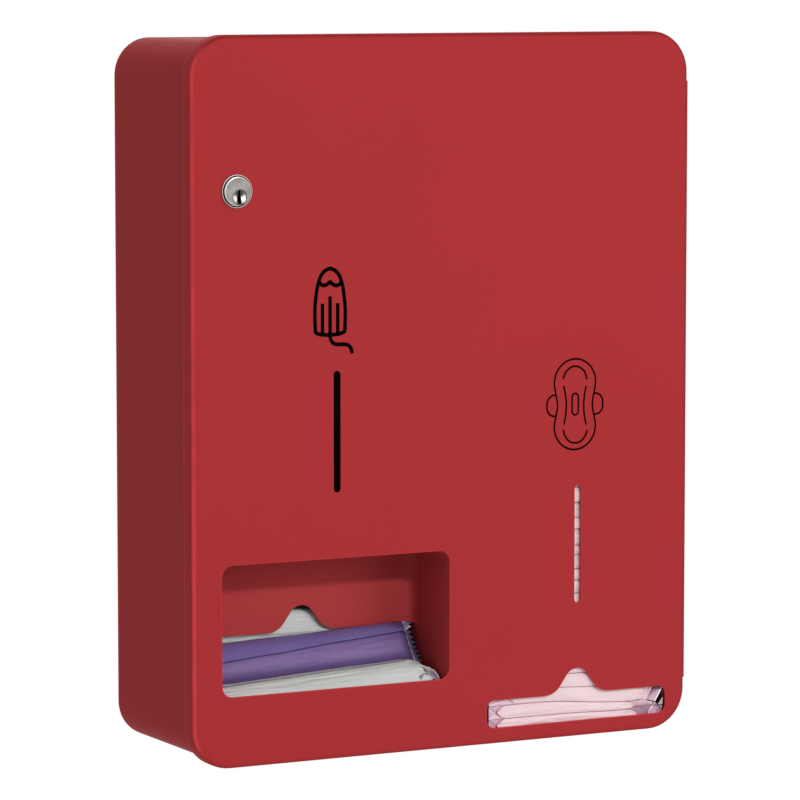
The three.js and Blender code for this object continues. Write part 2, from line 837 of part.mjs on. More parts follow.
// Soft wrapped goods: rounded sections along X, flat where the wrapper is sealed
function pack(sections, steps) {
  const loops = sections.map(({ x, halfDepth, halfHeight }) => {
    const radius = Math.min(halfDepth, halfHeight);
    const box = { left: -halfDepth, right: halfDepth, bottom: -halfHeight, top: halfHeight, radius };
    return roundedPoints(box, steps).map(([y, z]) => [x, y, z]);
  });
  return loft(loops, false);
}

function mirrored(sections) {
  return [...sections, ...sections.slice().reverse().map((row) => ({ ...row, x: -row.x }))];
}

function wrappedTampon() {
  const half = tamponWindowWidth / 2 - tamponSideGap;
  const sealHalf = tamponSealWidth / 2;
  const film = filmThickness / 2;
  const bodyEnd = half - tamponSealLength - tamponTaper;
  const shoulder = (sealHalf + tamponRadius) / 2;
  return pack(mirrored([
    { x: -half, halfDepth: sealHalf, halfHeight: film },
    { x: -half + tamponSealLength, halfDepth: sealHalf, halfHeight: film },
    { x: -(bodyEnd + tamponTaper / 2), halfDepth: shoulder, halfHeight: tamponRadius / 2 },
    { x: -bodyEnd, halfDepth: tamponRadius, halfHeight: tamponRadius },
  ]), 5);
}

// The front pack lies flat on the tray against its lip, and each one behind it leans, a pitch further in
function placeTampon(name, material, row, tilt) {
  const sealReach = tamponSealWidth / 2 * Math.cos(traySlope);
  const y = linerRimY + sheet + seatGap + sealReach + row * tamponPitch;
  const rise = (tamponRadius + seatGap) / Math.cos(traySlope);
  const mesh = new THREE.Mesh(wrappedTampon(), material);
  mesh.name = name;
  mesh.rotation.x = tilt;
  mesh.position.set(tamponCentreX, y, trayZ(y) + rise);
  return mesh;
}

// A pad fills its window's width, and reaches from the door to just before the studs
const padFrontY = doorInnerY + padFrontGap;
const padBackY = studEndY - padBackGap;

function wrappedPad() {
  const tip = (padWindow.right - padWindow.left) / 2 - padSideGap;
  const film = filmThickness / 2;
  const bodyDepth = (padBackY - padFrontY) / 2;
  const tail = { halfDepth: bodyDepth - padTailInset, halfHeight: film };
  const body = { halfDepth: bodyDepth, halfHeight: padThickness / 2 };
  return pack([
    { x: -tip, ...tail },
    { x: -tip + padLeftTail / 2, ...tail },
    { x: -tip + padLeftTail, ...body },
    { x: tip - padRightTail, ...body },
    { x: tip - padRightTail / 2, ...tail },
    { x: tip, ...tail },
  ], 3);
}

function placePad(index) {
  const mesh = new THREE.Mesh(wrappedPad(), pinkFilm);
  const floor = padTrayZ + seatGap;
  const z = floor + padThickness / 2 + index * (padThickness + seatGap);
  mesh.name = `pad_${String(index + 1).padStart(2, '0')}`;
  mesh.position.set(padCentreX, (padFrontY + padBackY) / 2, z);
  return mesh;
}

// Scene graph
function piece(name, geometry, material) {
  const mesh = new THREE.Mesh(geometry, material);
  mesh.name = name;
  return mesh;
}

const cabinet = new THREE.Group();
cabinet.add(
  piece('cabinet_shell', cabinetShell(), redPaint),
  piece('back_panel', backPanel(), redPaint),
  piece('tampon_channel', tamponChannel(), zincSteel),
  piece('tampon_front_plate', tamponFrontPlate(), zincSteel),
  piece('recess_liner', recessLiner(), redPaint),
  piece('tampon_tray', tamponTray(), redPaint),
  piece('pad_channel', padChannel(), zincSteel),
  piece('pad_tray', padTray(), zincSteel),
  piece('strike_bracket', strikeBracket(), zincSteel),
  piece('cabinet_hinge_leaf', cabinetHingeLeaf(), redPaint),
  piece('hinge_pin', hingePin(), brightSteel),
);
studPlaces.forEach((place, index) => {
  cabinet.add(piece(`channel_nut_${index + 1}`, channelNut(place), brightSteel));
});
[[-1, 1], [-1, -1], [1, 1], [1, -1]].forEach(([side, end], index) => {
  cabinet.add(piece(`door_bumper_${index + 1}`, doorBumper(side, end), blackRubber));
});

const door = new THREE.Group();
door.add(
  piece('door_panel', doorPanel(), redPaint),
  piece('door_hinge_leaf', doorHingeLeaf(), redPaint),
  piece('lock_housing', lockHousing(), brightSteel),
  piece('lock_nut', lockNut(), brightSteel),
);

const lock = new THREE.Group();
lock.add(
  piece('lock_plug', lockPlug(), brightSteel),
  piece('lock_cam', lockCam(), zincSteel),
  piece('cam_screw', camScrew(), brightSteel),
);

const goods = new THREE.Group();
goods.add(
  placeTampon('tampon_front', whiteFilm, 0, traySlope),
  placeTampon('tampon_middle', violetFilm, 1, leaningTilt),
  placeTampon('tampon_rear', whiteFilm, 2, leaningTilt),
);
for (let index = 0; index < padCount; index += 1) {
  goods.add(placePad(index));
}

const dispenser = new THREE.Group();
dispenser.add(cabinet, door, lock, goods);

export default dispenser;
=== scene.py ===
# %% [markdown]
# # A tampon and pad dispenser for a washroom wall
#
# The real thing is a red powder-coated steel cabinet that hangs on a wall. Its whole front is a
# shallow pan door, hinged at the right and locked at the left. Behind the door stand two steel
# magazines, one for wrapped tampons and one for wrapped pads.
#
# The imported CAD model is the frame. Every piece made here takes its place from a CAD node, so it
# needs no fitting, and it rides on that node's body, so it moves when a joint moves.

# %% Load the frame
import json
import math
import random

import bmesh
import bpy
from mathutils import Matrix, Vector, noise

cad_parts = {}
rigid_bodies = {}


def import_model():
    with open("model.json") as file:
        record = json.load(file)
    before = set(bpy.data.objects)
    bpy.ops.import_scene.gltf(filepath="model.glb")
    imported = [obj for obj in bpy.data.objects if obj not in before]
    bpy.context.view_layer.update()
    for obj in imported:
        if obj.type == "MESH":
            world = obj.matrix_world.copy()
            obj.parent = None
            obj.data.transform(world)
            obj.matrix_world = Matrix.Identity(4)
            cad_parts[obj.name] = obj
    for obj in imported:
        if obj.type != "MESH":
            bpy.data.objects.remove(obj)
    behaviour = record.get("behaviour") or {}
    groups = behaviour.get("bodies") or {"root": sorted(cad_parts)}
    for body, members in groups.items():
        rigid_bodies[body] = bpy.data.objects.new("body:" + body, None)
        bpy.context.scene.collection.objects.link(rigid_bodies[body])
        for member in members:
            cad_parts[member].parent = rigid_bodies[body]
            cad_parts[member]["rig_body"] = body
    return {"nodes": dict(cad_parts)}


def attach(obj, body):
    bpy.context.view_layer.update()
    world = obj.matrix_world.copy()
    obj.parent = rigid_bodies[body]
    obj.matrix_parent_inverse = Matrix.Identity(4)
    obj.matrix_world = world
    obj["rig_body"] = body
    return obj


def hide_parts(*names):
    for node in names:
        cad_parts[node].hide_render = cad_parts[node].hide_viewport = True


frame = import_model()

MM = 0.001
QUARTER = math.pi / 2
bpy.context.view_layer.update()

# %% [markdown]
# ## The camera
#
# A camera can be placed by eye, or worked out from the picture: the door is a flat rectangle, so
# its four edges and the edges of its windows fix the direction, the distance and the lens. The
# second way was used. The lens is long and the camera stands over two metres away, left of the
# middle and a little above it.

# %% The camera of the photograph
view_azimuth, view_elevation = math.radians(-27.78), math.radians(5.76)
view_distance = 2317.5 * MM
view_target = Vector((-28.17, -100.0, -1.97)) * MM


def link(piece):
    """Puts a new object in the scene."""
    bpy.context.scene.collection.objects.link(piece)
    return piece


def direction(azimuth, elevation):
    """The way from the object toward a place seen at these angles."""
    level = math.cos(elevation)
    return Vector((math.sin(azimuth) * level, -math.cos(azimuth) * level, math.sin(elevation)))


def look_along(piece, way):
    """Turns a camera or a lamp, which look along their own -Z, to look along a direction."""
    piece.rotation_mode = "QUATERNION"
    piece.rotation_quaternion = way.to_track_quat("-Z", "Y")


toward_camera = direction(view_azimuth, view_elevation)
camera_data = bpy.data.cameras.new("photo_camera")
camera_data.lens = 196.4
camera_data.sensor_width = 36.0
camera_data.clip_start, camera_data.clip_end = 0.1, 60.0
camera = link(bpy.data.objects.new("photo_camera", camera_data))
camera.location = view_target + toward_camera * view_distance
look_along(camera, -toward_camera)
bpy.context.scene.camera = camera
bpy.context.scene.view_settings.view_transform = "Standard"
print("camera at", [round(v, 3) for v in camera.location])

# %% [markdown]
# ## Shader maths as Python expressions
#
# A material is a small program of nodes. Linking Math nodes by hand hides the sum that they make,
# so `Signal` wraps a socket and lets Python's own operators add the Math nodes: `1 - mask * 0.5`
# reads as it works. `Finish` is a material in the making. Its method `add` makes any node, and the
# others are short for what most finishes here need.


# %% Signal, Graph and Finish
def math_node(operation, swapped=False):
    """A method of Signal that adds one Math node."""
    def method(signal, other=0.0):
        values = (other, signal) if swapped else (signal, other)
        settings = {"operation": operation}
        return signal.graph.add("ShaderNodeMath", settings, dict(enumerate(values)))
    return method


class Signal:
    """A shader socket on which Python's operators add Math nodes."""

    __add__, __radd__ = math_node("ADD"), math_node("ADD", True)
    __sub__, __rsub__ = math_node("SUBTRACT"), math_node("SUBTRACT", True)
    __mul__, __rmul__ = math_node("MULTIPLY"), math_node("MULTIPLY", True)
    __abs__ = math_node("ABSOLUTE")

    def __init__(self, graph, socket):
        self.graph = graph
        self.socket = socket

    def above(self, level, softness):
        """0 below the level, 1 above it, with a soft step between."""
        settings = {"interpolation_type": "SMOOTHSTEP"}
        return self.graph.add("ShaderNodeMapRange", settings, {
            "Value": self, "From Min": level - softness, "From Max": level + softness,
        })


class Graph:
    """A node tree in the making."""

    def __init__(self, tree):
        self.tree = tree
        self.tree.nodes.clear()

    def add(self, kind, settings=None, inputs=None, out=0):
        """Adds one node: its settings first, then the values or links of its sockets."""
        node = self.tree.nodes.new(kind)
        for key, value in (settings or {}).items():
            setattr(node, key, value)
        for key, value in (inputs or {}).items():
            if isinstance(value, Signal):
                self.tree.links.new(value.socket, node.inputs[key])
            else:
                node.inputs[key].default_value = value
        return None if out is None else Signal(self, node.outputs[out])

    def mix(self, factor, first, second):
        """A colour between two, each a signal or an sRGB colour from 0 to 255."""
        first, second = (c if isinstance(c, Signal) else linear(*c) for c in (first, second))
        # The node has sockets for every kind of value: 6, 7 and output 2 are the colours.
        inputs = {0: factor, 6: first, 7: second}
        return self.add("ShaderNodeMix", {"data_type": "RGBA"}, inputs, out=2)


class Finish(Graph):
    """A material in the making."""

    def __init__(self, name):
        self.material = bpy.data.materials.new(name)
        self.material.use_nodes = True
        super().__init__(self.material.node_tree)
        self.coordinates = self.add("ShaderNodeTexCoord", out="Object")

    def edge(self):
        """What each point of a piece says of its bends, rims, folds and wear, and of the light and
        shade painted on it, from -1 to 1.
        """
        return self.add("ShaderNodeAttribute", {"attribute_name": "edge"}, out="Fac")

    def stretched(self, scales):
        """Object coordinates multiplied by a scale for each axis."""
        return self.add("ShaderNodeMapping", {"vector_type": "POINT"}, {
            "Vector": self.coordinates, "Scale": scales,
        })

    def noise(self, scale, detail=3.0, vector=None, distortion=0.0):
        """A cloudy pattern from 0 to 1, about 1 / scale metres wide."""
        return self.add("ShaderNodeTexNoise", {}, {
            "Vector": vector or self.coordinates, "Scale": scale, "Detail": detail,
            "Distortion": distortion,
        })

    def bump(self, height, depth_mm, normal=None):
        """Tilts the surface as a relief of this depth would."""
        inputs = {"Height": height, "Distance": depth_mm * MM, "Strength": 1.0}
        if normal:
            inputs["Normal"] = normal
        return self.add("ShaderNodeBump", {}, inputs, out="Normal")

    def surface(self, **inputs):
        """Ends the material in a Principled shader; an underscore in a name stands for a space."""
        sockets = {key.replace("_", " "): value for key, value in inputs.items()}
        shader = self.add("ShaderNodeBsdfPrincipled", {}, sockets, out="BSDF")
        self.add("ShaderNodeOutputMaterial", {}, {"Surface": shader}, out=None)
        return self.material


def linear(red, green, blue):
    """An sRGB colour from 0 to 255 as the linear colour that shaders use."""
    channels = []
    for value in (red, green, blue):
        share = value / 255
        low = share <= 0.04045
        channels.append(share / 12.92 if low else ((share + 0.055) / 1.055) ** 2.4)
    return (*channels, 1.0)


def grained(name, scale, detail, light, dark, roughness, unevenness, relief_mm, **sockets):
    """A plain finish with one grain, which changes its colour, roughness and relief."""
    finish = Finish(name)
    grain = finish.noise(scale, detail)
    return finish.surface(
        Base_Color=finish.mix(grain, light, dark),
        Roughness=roughness + grain * unevenness, Normal=finish.bump(grain, relief_mm), **sockets,
    )


# %% [markdown]
# ## Powder coat
#
# Powder coat is a polyester skin a tenth of a millimetre thick. It could be one flat red, but what
# makes it look like paint on steel is small: the orange peel left by the powder as it flows, with
# waves about two millimetres long, and a slow change of gloss over a hand's breadth. Each piece
# stores in the attribute `edge` how near a rounded edge a point lies. There the coat is lighter:
# on rims that is a thinner, worn coat with a painted highlight, and on the door's left bend it is a
# painted highlight. A negative value paints shade, on the door's top and right bends.


# %% Red powder coat
def powder_coat(name, gloss, red, deep):
    """Red paint, lighter where `edge` is positive, for worn rims and painted highlights, and darker
    with painted shade where it is negative.
    """
    finish = Finish(name)
    peel = finish.noise(520.0, 2.0)
    grain = finish.noise(2600.0, 2.0)
    drift = finish.noise(9.0, 2.0)
    handled = finish.noise(38.0, 4.0, distortion=0.6)
    edge = finish.edge()
    # thin: lighter red on worn rims and painted highlights on the bends.
    thin = edge * (0.7 + 0.3 * handled.above(0.45, 0.2))
    colour = finish.mix(thin, finish.mix(drift, deep, red), (222, 72, 74))
    # Painted shade on the door's top and right bends, where edge is negative.
    colour = finish.mix(0 - edge, colour, (98, 20, 25))
    return finish.surface(
        Base_Color=colour, Roughness=gloss + handled * 0.08 + drift * 0.05 - thin * 0.06,
        Normal=finish.bump(grain, 0.0015, finish.bump(peel, 0.012)),
        IOR=1.45, Specular_IOR_Level=0.016,
    )


red_coat = powder_coat("red_powder_coat", 0.34, (166, 50, 53), (161, 47, 50))
# The recess's coat is a lighter, greyer copy of the same red, painted to offset the deeper red of
# light bounced round the recess.
liner_coat = powder_coat("red_liner_coat", 0.4, (176, 64, 66), (170, 60, 62))
print("paint:", red_coat.name, liner_coat.name)

# %% [markdown]
# ## Metals, rubber and ink
#
# The magazines are zinc-plated sheet: grey metal with faint crystals and drawn streaks. The small
# fasteners are the same metal, brighter. The lock is die-cast and nickel-plated, so its face has
# the fine pebbled grain of a casting. Its colour carries painted highlights where `edge` is 1, on
# its rims and in its dish, and painted shade where it is -1, in its groove, its bore and its dish.


# %% Zinc, bright steel, nickel, rubber and ink
def plated_metal(name, colour, dark, roughness, grain_scale, grain_depth, streak):
    """Plated sheet with clouds, grain and streaks."""
    finish = Finish(name)
    cloud = finish.noise(60.0, 4.0)
    grain = finish.noise(grain_scale, 3.0)
    streaks = finish.noise(40.0, 3.0, vector=finish.stretched(streak))
    return finish.surface(
        Base_Color=finish.mix(cloud * 0.5 + streaks * 0.4, colour, dark),
        Metallic=1.0, Roughness=roughness + cloud * 0.12 + streaks * 0.08,
        Normal=finish.bump(grain, grain_depth),
    )


def cast_nickel(name):
    """Satin plating on a casting."""
    finish = Finish(name)
    edge = finish.edge()
    cloud = finish.noise(210.0, 4.0)
    grain = finish.noise(1500.0, 4.0)
    pebbles = (cloud * 0.5 + grain * 0.5).above(0.5, 0.16)
    tone = finish.mix(pebbles, (106, 104, 100), (140, 137, 133))
    # Painted highlights where edge is high, painted shade where it is low.
    tone = finish.mix(edge.above(0.45, 0.35), tone, (226, 224, 220))
    tone = finish.mix((0 - edge).above(0.45, 0.35), tone, (16, 14, 13))
    return finish.surface(
        Base_Color=tone, Metallic=1.0, Roughness=0.42 + grain * 0.18 - edge * 0.14,
        Normal=finish.bump(grain, 0.03),
    )


zinc = plated_metal(
    "zinc_plate", (196, 200, 204), (150, 154, 160), 0.34, 900.0, 0.004, (1, 1, 12))
bright = plated_metal(
    "bright_zinc", (208, 208, 204), (170, 168, 160), 0.22, 1500.0, 0.002, (1, 8, 1))
nickel = cast_nickel("satin_nickel")
rubber = grained("black_rubber", 1800.0, 3.0, (22, 22, 24), (38, 38, 40), 0.7, 0.2, 0.02)
ink = grained("black_print", 1400.0, 2.0, (1, 1, 1), (5, 4, 4), 0.5, 0.15, 0.004,
              Specular_IOR_Level=0.004)
# A near-black finish that paints the shade deep in the keyway.
keyway_shade = grained("dark_oxide", 900.0, 2.0, (3, 3, 3), (9, 8, 8), 0.6, 0.2, 0.01,
                Specular_IOR_Level=0.004)
print("metals:", zinc.name, bright.name, nickel.name, "and", rubber.name, ink.name, keyway_shade.name)

# %% [markdown]
# ## Wrapper film
#
# The goods are wrapped in thin plastic film. Film is smooth but never flat: long creases run along
# the pull of the wrapping machine, and small crumples lie between them. The creases are noise
# stretched along the pack, folded at its middle value so that it makes ridges. They tilt the
# surface only; the folds that show in outline are modelled. Where the film is folded back on itself
# or pressed into a seam, shade is painted into its colour, and the attribute `edge` says where. At
# the ends the film lies single, crimped or clear, so it has finishes of its own, with painted
# highlights and painted shade where `edge` is positive and where it is negative, and for clear film
# some light that passes. The violet pack's flap has a bluer, lighter copy of the violet film,
# painted to offset the red light that the recess bounces onto it.


# %% White, violet and pink film
def wrapper_film(name, colour, shade, deep, roughness, crease_mm, crumple_mm,
                 along=(0.16, 1.0, 1.0), glow=0.0):
    """Film with creases along the pack, with painted shade where `edge` is positive."""
    finish = Finish(name)
    creases = finish.noise(150.0, 3.0, vector=finish.stretched(along), distortion=0.8)
    ridge = 1 - abs(creases - 0.5) * 4
    crumple = finish.noise(330.0, 4.0, distortion=0.4)
    cloud = finish.noise(45.0, 3.0)
    tone = finish.mix(cloud * 0.7 + crumple * 0.3, colour, shade)
    return finish.surface(
        # Painted shade in seams, folds and along flap edges, where edge is positive.
        Base_Color=finish.mix(finish.edge(), tone, deep),
        Roughness=roughness + crumple * 0.14,
        Normal=finish.bump(crumple, crumple_mm, finish.bump(ridge, crease_mm)),
        Specular_IOR_Level=0.3, Subsurface_Weight=glow, Subsurface_Scale=0.003,
    )


white_film = wrapper_film(
    "white_film", (208, 213, 210), (180, 186, 184), (140, 146, 152), 0.34, 0.3, 0.08)
violet_film = wrapper_film(
    "violet_film", (126, 103, 160), (112, 90, 146), (50, 34, 82), 0.42, 0.14, 0.05)
# A bluer, lighter copy of the violet film for the flap, painted to offset the red light bounced
# onto it.
flap_film = wrapper_film(
    "violet_flap", (120, 109, 170), (106, 94, 156), (50, 34, 82), 0.42, 0.12, 0.05)
dot_film = wrapper_film(
    "violet_dots", (158, 138, 190), (140, 118, 176), (90, 70, 130), 0.36, 0.05, 0.02)
pink_film = wrapper_film(
    "pink_film", (237, 215, 219), (227, 200, 206), (206, 126, 148), 0.4, 0.2, 0.1,
    (0.3, 0.7, 1.0), 0.35)


# %% Film of the packs' ends and the pads' tails
def end_film(name, scale, distortion, colours, roughness, relief_mm, alpha=None, step=None,
             **sockets):
    """Crimped or clear film; the colours are light and dark at random, then painted light or shade
    where edge is above 0 and where it is below 0.
    """
    finish = Finish(name)
    cloud = finish.noise(scale, 3.0, distortion=distortion)
    light, dark, lit, shaded = colours
    edge = finish.edge()
    tone = finish.mix(cloud.above(*step) if step else cloud, light, dark)
    # Painted highlights and painted shade on crimps, folds and glint strips, picked by edge.
    tone = finish.mix(0 - edge, finish.mix(edge, tone, lit), shaded)
    if alpha:
        sockets["Alpha"] = alpha[0] + cloud * alpha[1]
    return finish.surface(
        Base_Color=tone, Roughness=roughness[0] + cloud * roughness[1],
        Normal=finish.bump(cloud, relief_mm), **sockets,
    )


violet_foil = end_film(
    "violet_foil", 300.0, 0.0,
    ((128, 122, 152), (92, 86, 118), (214, 212, 224), (48, 42, 74)), (0.3, 0.2), 0.05,
    Metallic=0.3)
clear_seal = end_film(
    "clear_seal_film", 220.0, 0.4,
    ((204, 206, 210), (164, 168, 176), (96, 98, 108), (240, 241, 244)), (0.18, 0.2), 0.12,
    (0.8, 0.3), Coat_Weight=0.4, Coat_Roughness=0.1)
tail_film = end_film(
    "pink_tail_film", 160.0, 0.5,
    ((224, 188, 204), (198, 156, 178), (140, 88, 116), (250, 240, 245)), (0.22, 0.16), 0.12,
    (0.88, 0.2), (0.5, 0.2), Coat_Weight=0.35, Coat_Roughness=0.12)
print("films:", white_film.name, violet_film.name, pink_film.name, violet_foil.name,
      clear_seal.name, tail_film.name)

# %% [markdown]
# ## Sheet metal as rings of points
#
# The door, the cabinet and the recess are folded from sheet. A bevelled box would give the right
# outline, but a pressed edge is a bend of a known radius, and a punched hole has a very small
# rounded rim. So each pressing is made as rings of points: every ring is the same outline, drawn in
# or out a little and set deeper, and faces join one ring to the next. Flat parts between an outline
# and its holes are filled in one go. Each point also stores how near a rounded edge it lies, which
# the paint reads for its wear, and where light or shade is painted on it.


# %% Outlines
def arc(x, z, radius, start, end, steps):
    """Points on an arc in the plane of the door, both ends included."""
    angles = [start + (end - start) * step / steps for step in range(steps + 1)]
    return [(x + radius * math.cos(a), z + radius * math.sin(a)) for a in angles]


def arcs(rows, steps):
    """Arcs one after the other, from rows of x, z, radius, start and end in quarter turns."""
    return [
        point for x, z, radius, start, end in rows
        for point in arc(x, z, radius, QUARTER * start, QUARTER * end, steps)
    ]


def box_outline(box, grow=0.0, steps=8):
    """A rectangle with round corners, grown on all sides."""
    left, right, bottom, top, radius = box
    rounding = max(radius + grow, 0.05)
    near_x, far_x = left - grow + rounding, right + grow - rounding
    low_z, high_z = bottom - grow + rounding, top + grow - rounding
    corners = ((far_x, high_z), (near_x, high_z), (near_x, low_z), (far_x, low_z))
    return arcs([(*corner, rounding, turn, turn + 1) for turn, corner in enumerate(corners)], steps)


def slot_outline(x, bottom, length, width, grow=0.0, steps=10):
    """An upright slot with round ends."""
    radius = width / 2
    ends = ((x, bottom + length - radius, radius + grow, 0, 2),
            (x, bottom + radius, radius + grow, 2, 4))
    return arcs(ends, steps)


def circle_outline(x, z, radius, grow=0.0, steps=40):
    """A circle, its last point left out because it is the first one."""
    return arc(x, z, radius + grow, 0, 2 * math.pi, steps)[:-1]


def rectangle(u0, u1, v0, v1):
    """The four corners of a rectangle with sharp corners."""
    return [(u0, v0), (u1, v0), (u1, v1), (u0, v1)]


def quarter_turn(radius, steps):
    """How far a bend has still to go sideways, how deep it is and how bent, at each step."""
    angles = [QUARTER * step / steps for step in range(steps + 1)]
    return [
        (radius * (1 - math.sin(a)), radius * (1 - math.cos(a)), math.sin(2 * a)) for a in angles
    ]


# %% A mesh made of rings
class Sheet:
    """A closed mesh made of rings of points, in millimetres."""

    def __init__(self):
        self.mesh = bmesh.new()
        self.edge = self.mesh.verts.layers.float.new("edge")

    def ring(self, points, y, edge=0.0):
        """A ring in an upright plane across the depth."""
        return self.loop([(x, y, z) for x, z in points], edge)

    def loop(self, points, edge=0.0):
        """A ring of points; the edge value is one for all of them, or a list."""
        verts = [self.mesh.verts.new(Vector(point) * MM) for point in points]
        for k, vert in enumerate(verts):
            vert[self.edge] = edge[k] if isinstance(edge, list) else edge
        return verts

    def pressing(self, box, profile, steps):
        """Rings of a rounded box from a profile of (inset, depth, edge)."""
        return [self.ring(box_outline(box, -inset, steps), y, edge) for inset, y, edge in profile]

    def skin(self, rings, closed=False):
        """Faces from each ring to the next."""
        pairs = list(zip(rings, rings[1:]))
        if closed:
            pairs.append((rings[-1], rings[0]))
        for near, far in pairs:
            for k in range(len(near)):
                n = (k + 1) % len(near)
                self.mesh.faces.new((near[k], near[n], far[n], far[k]))

    def fill(self, *rings):
        """One flat face between an outline and the holes in it."""
        edges = []
        for ring in rings:
            for pair in zip(ring, ring[1:] + ring[:1]):
                edges.append(self.mesh.edges.get(pair) or self.mesh.edges.new(pair))
        bmesh.ops.triangle_fill(self.mesh, use_beauty=True, edges=edges)

    def tube(self, rings):
        """A skin that is closed at its first and its last ring."""
        self.skin(rings)
        self.fill(rings[0])
        self.fill(rings[-1])

    def piece(self, name, material):
        """Turns the faces outwards and makes the mesh an object; its first finish is smoothed."""
        bmesh.ops.remove_doubles(self.mesh, verts=self.mesh.verts, dist=0.001 * MM)
        bmesh.ops.recalc_face_normals(self.mesh, faces=self.mesh.faces)
        for face in self.mesh.faces:
            face.smooth = face.material_index == 0
        data = bpy.data.meshes.new(name)
        self.mesh.to_mesh(data)
        self.mesh.free()
        data.materials.append(material)
        return link(bpy.data.objects.new(name, data))


# %% What is done to a finished piece
def even_shading(piece, sharp_degrees=None):
    """Lets the large faces decide the shading, so that flat metal looks flat up to its bends."""
    if sharp_degrees:
        piece.data.set_sharp_from_angle(angle=math.radians(sharp_degrees))
    modifier = piece.modifiers.new("even_shading", "WEIGHTED_NORMAL")
    modifier.weight = 100
    modifier.keep_sharp = sharp_degrees is not None
    return piece


def evaluated_mesh(piece):
    """The mesh that an object's modifiers make of it."""
    graph = bpy.context.evaluated_depsgraph_get()
    data = bpy.data.meshes.new_from_object(piece.evaluated_get(graph))
    data.name = piece.name
    return data


def plain_mesh(piece):
    """Replaces an object's mesh by what its modifiers make of it, and removes the modifiers."""
    data = evaluated_mesh(piece)
    piece.modifiers.clear()
    piece.data = data
    return piece


def belongs_to(piece, node):
    """A piece on top of a CAD node: it rides on the node's body and replaces nothing."""
    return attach(piece, frame["nodes"][node]["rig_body"])


def stands_for(piece, node):
    """The piece replaces a CAD node, which it hides, and rides on its body."""
    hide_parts(node)
    return belongs_to(piece, node)


# %% [markdown]
# ## The door
#
# The door is one pressed pan, 300 by 384 mm, with its edges bent back round a 3 mm radius. It has
# the tampon window, the pad window with its thumb notch, two sight slots and the lock hole. All are
# outlines that can be grown, so the rim of each is a quarter of a circle, 0.3 mm in radius, which
# catches the light as a punched edge under paint does.

# %% Outlines of the door
SHEET = 1.2
FRONT_Y = -100.0
DOOR_BACK_Y = FRONT_Y + SHEET
DOOR_RIM_Y = -89.0
DOOR_BEND = 3.0
RIM_ROUND, RIM_MIDDLE = 0.3, 0.09
# The band over which the tone of worn rims and painted bend highlights fades into the flat front.
WEAR_AND_LIGHT_BAND, RIM_BAND = 2.2, 0.55

door_box = (-150.0, 150.0, -192.0, 192.0, 22.0)
tampon_window = (-133.0, 2.0, -154.0, -84.5, 6.0)
pad_window = (25.2, 137.4, -183.2, -168.2, 4.5)
tampon_x = (tampon_window[0] + tampon_window[1]) / 2
pad_x = (pad_window[0] + pad_window[1]) / 2
lock_x, lock_z, lock_hole_radius = -123.9, 111.2, 7.9

notch_height, notch_half_span = 14.0, 20.0
notch_top, notch_foot = 8.0, 11.5


def notch_outline(x, z, grow=0.0, steps=12):
    """The thumb notch above an edge at height z, from its left foot to its right foot."""
    rise = notch_height - notch_top - notch_foot
    reach = math.hypot(notch_half_span, rise)
    climb = math.atan2(rise, notch_half_span) + math.asin((notch_top + notch_foot) / reach)
    climb /= QUARTER
    foot_z, foot = z + notch_foot, notch_foot - grow
    return arcs((
        (x - notch_half_span, foot_z, foot, -1, climb - 1),
        (x, z + notch_height - notch_top, notch_top + grow, 1 + climb, 1 - climb),
        (x + notch_half_span, foot_z, foot, 3 - climb, 3),
    ), steps)


def pad_window_outline(grow=0.0, steps=8):
    """The low window with the thumb notch in its upper edge."""
    left, right, bottom, top, radius = pad_window
    near_x, far_x, rounding = left + radius, right - radius, radius + grow
    first = arcs([(near_x, top - radius, rounding, 2, 1)], steps)
    return first + notch_outline(pad_x, top, grow) + arcs((
        (far_x, top - radius, rounding, 1, 0), (far_x, bottom + radius, rounding, 0, -1),
        (near_x, bottom + radius, rounding, -1, -2),
    ), steps)


door_holes = (
    lambda grow: box_outline(tampon_window, grow),
    pad_window_outline,
    lambda grow: slot_outline(tampon_x, -49.5, 64.7, 4.3, grow),
    lambda grow: slot_outline(pad_x, -118.0, 64.2, 3.9, grow),
    lambda grow: circle_outline(lock_x, lock_z, lock_hole_radius, grow),
)
print("door outlines:", [len(hole(0.0)) for hole in door_holes], "points")


# %% The door skin
def painted_bend_light(x, z):
    """Painted highlight on the left bend, up to 1, and painted shade on the top and right bends,
    negative.
    """
    left = min(max((-x - 138.0) / 10.0, 0.0), 1.0)
    far = min(max((x - 125.0) / 20.0, (z - 172.0) / 14.0, 0.0), 1.0)
    return left * left * (1.0 - 0.6 * max(z - 160.0, 0.0) / 32.0) - 0.55 * far * (1.0 - left)


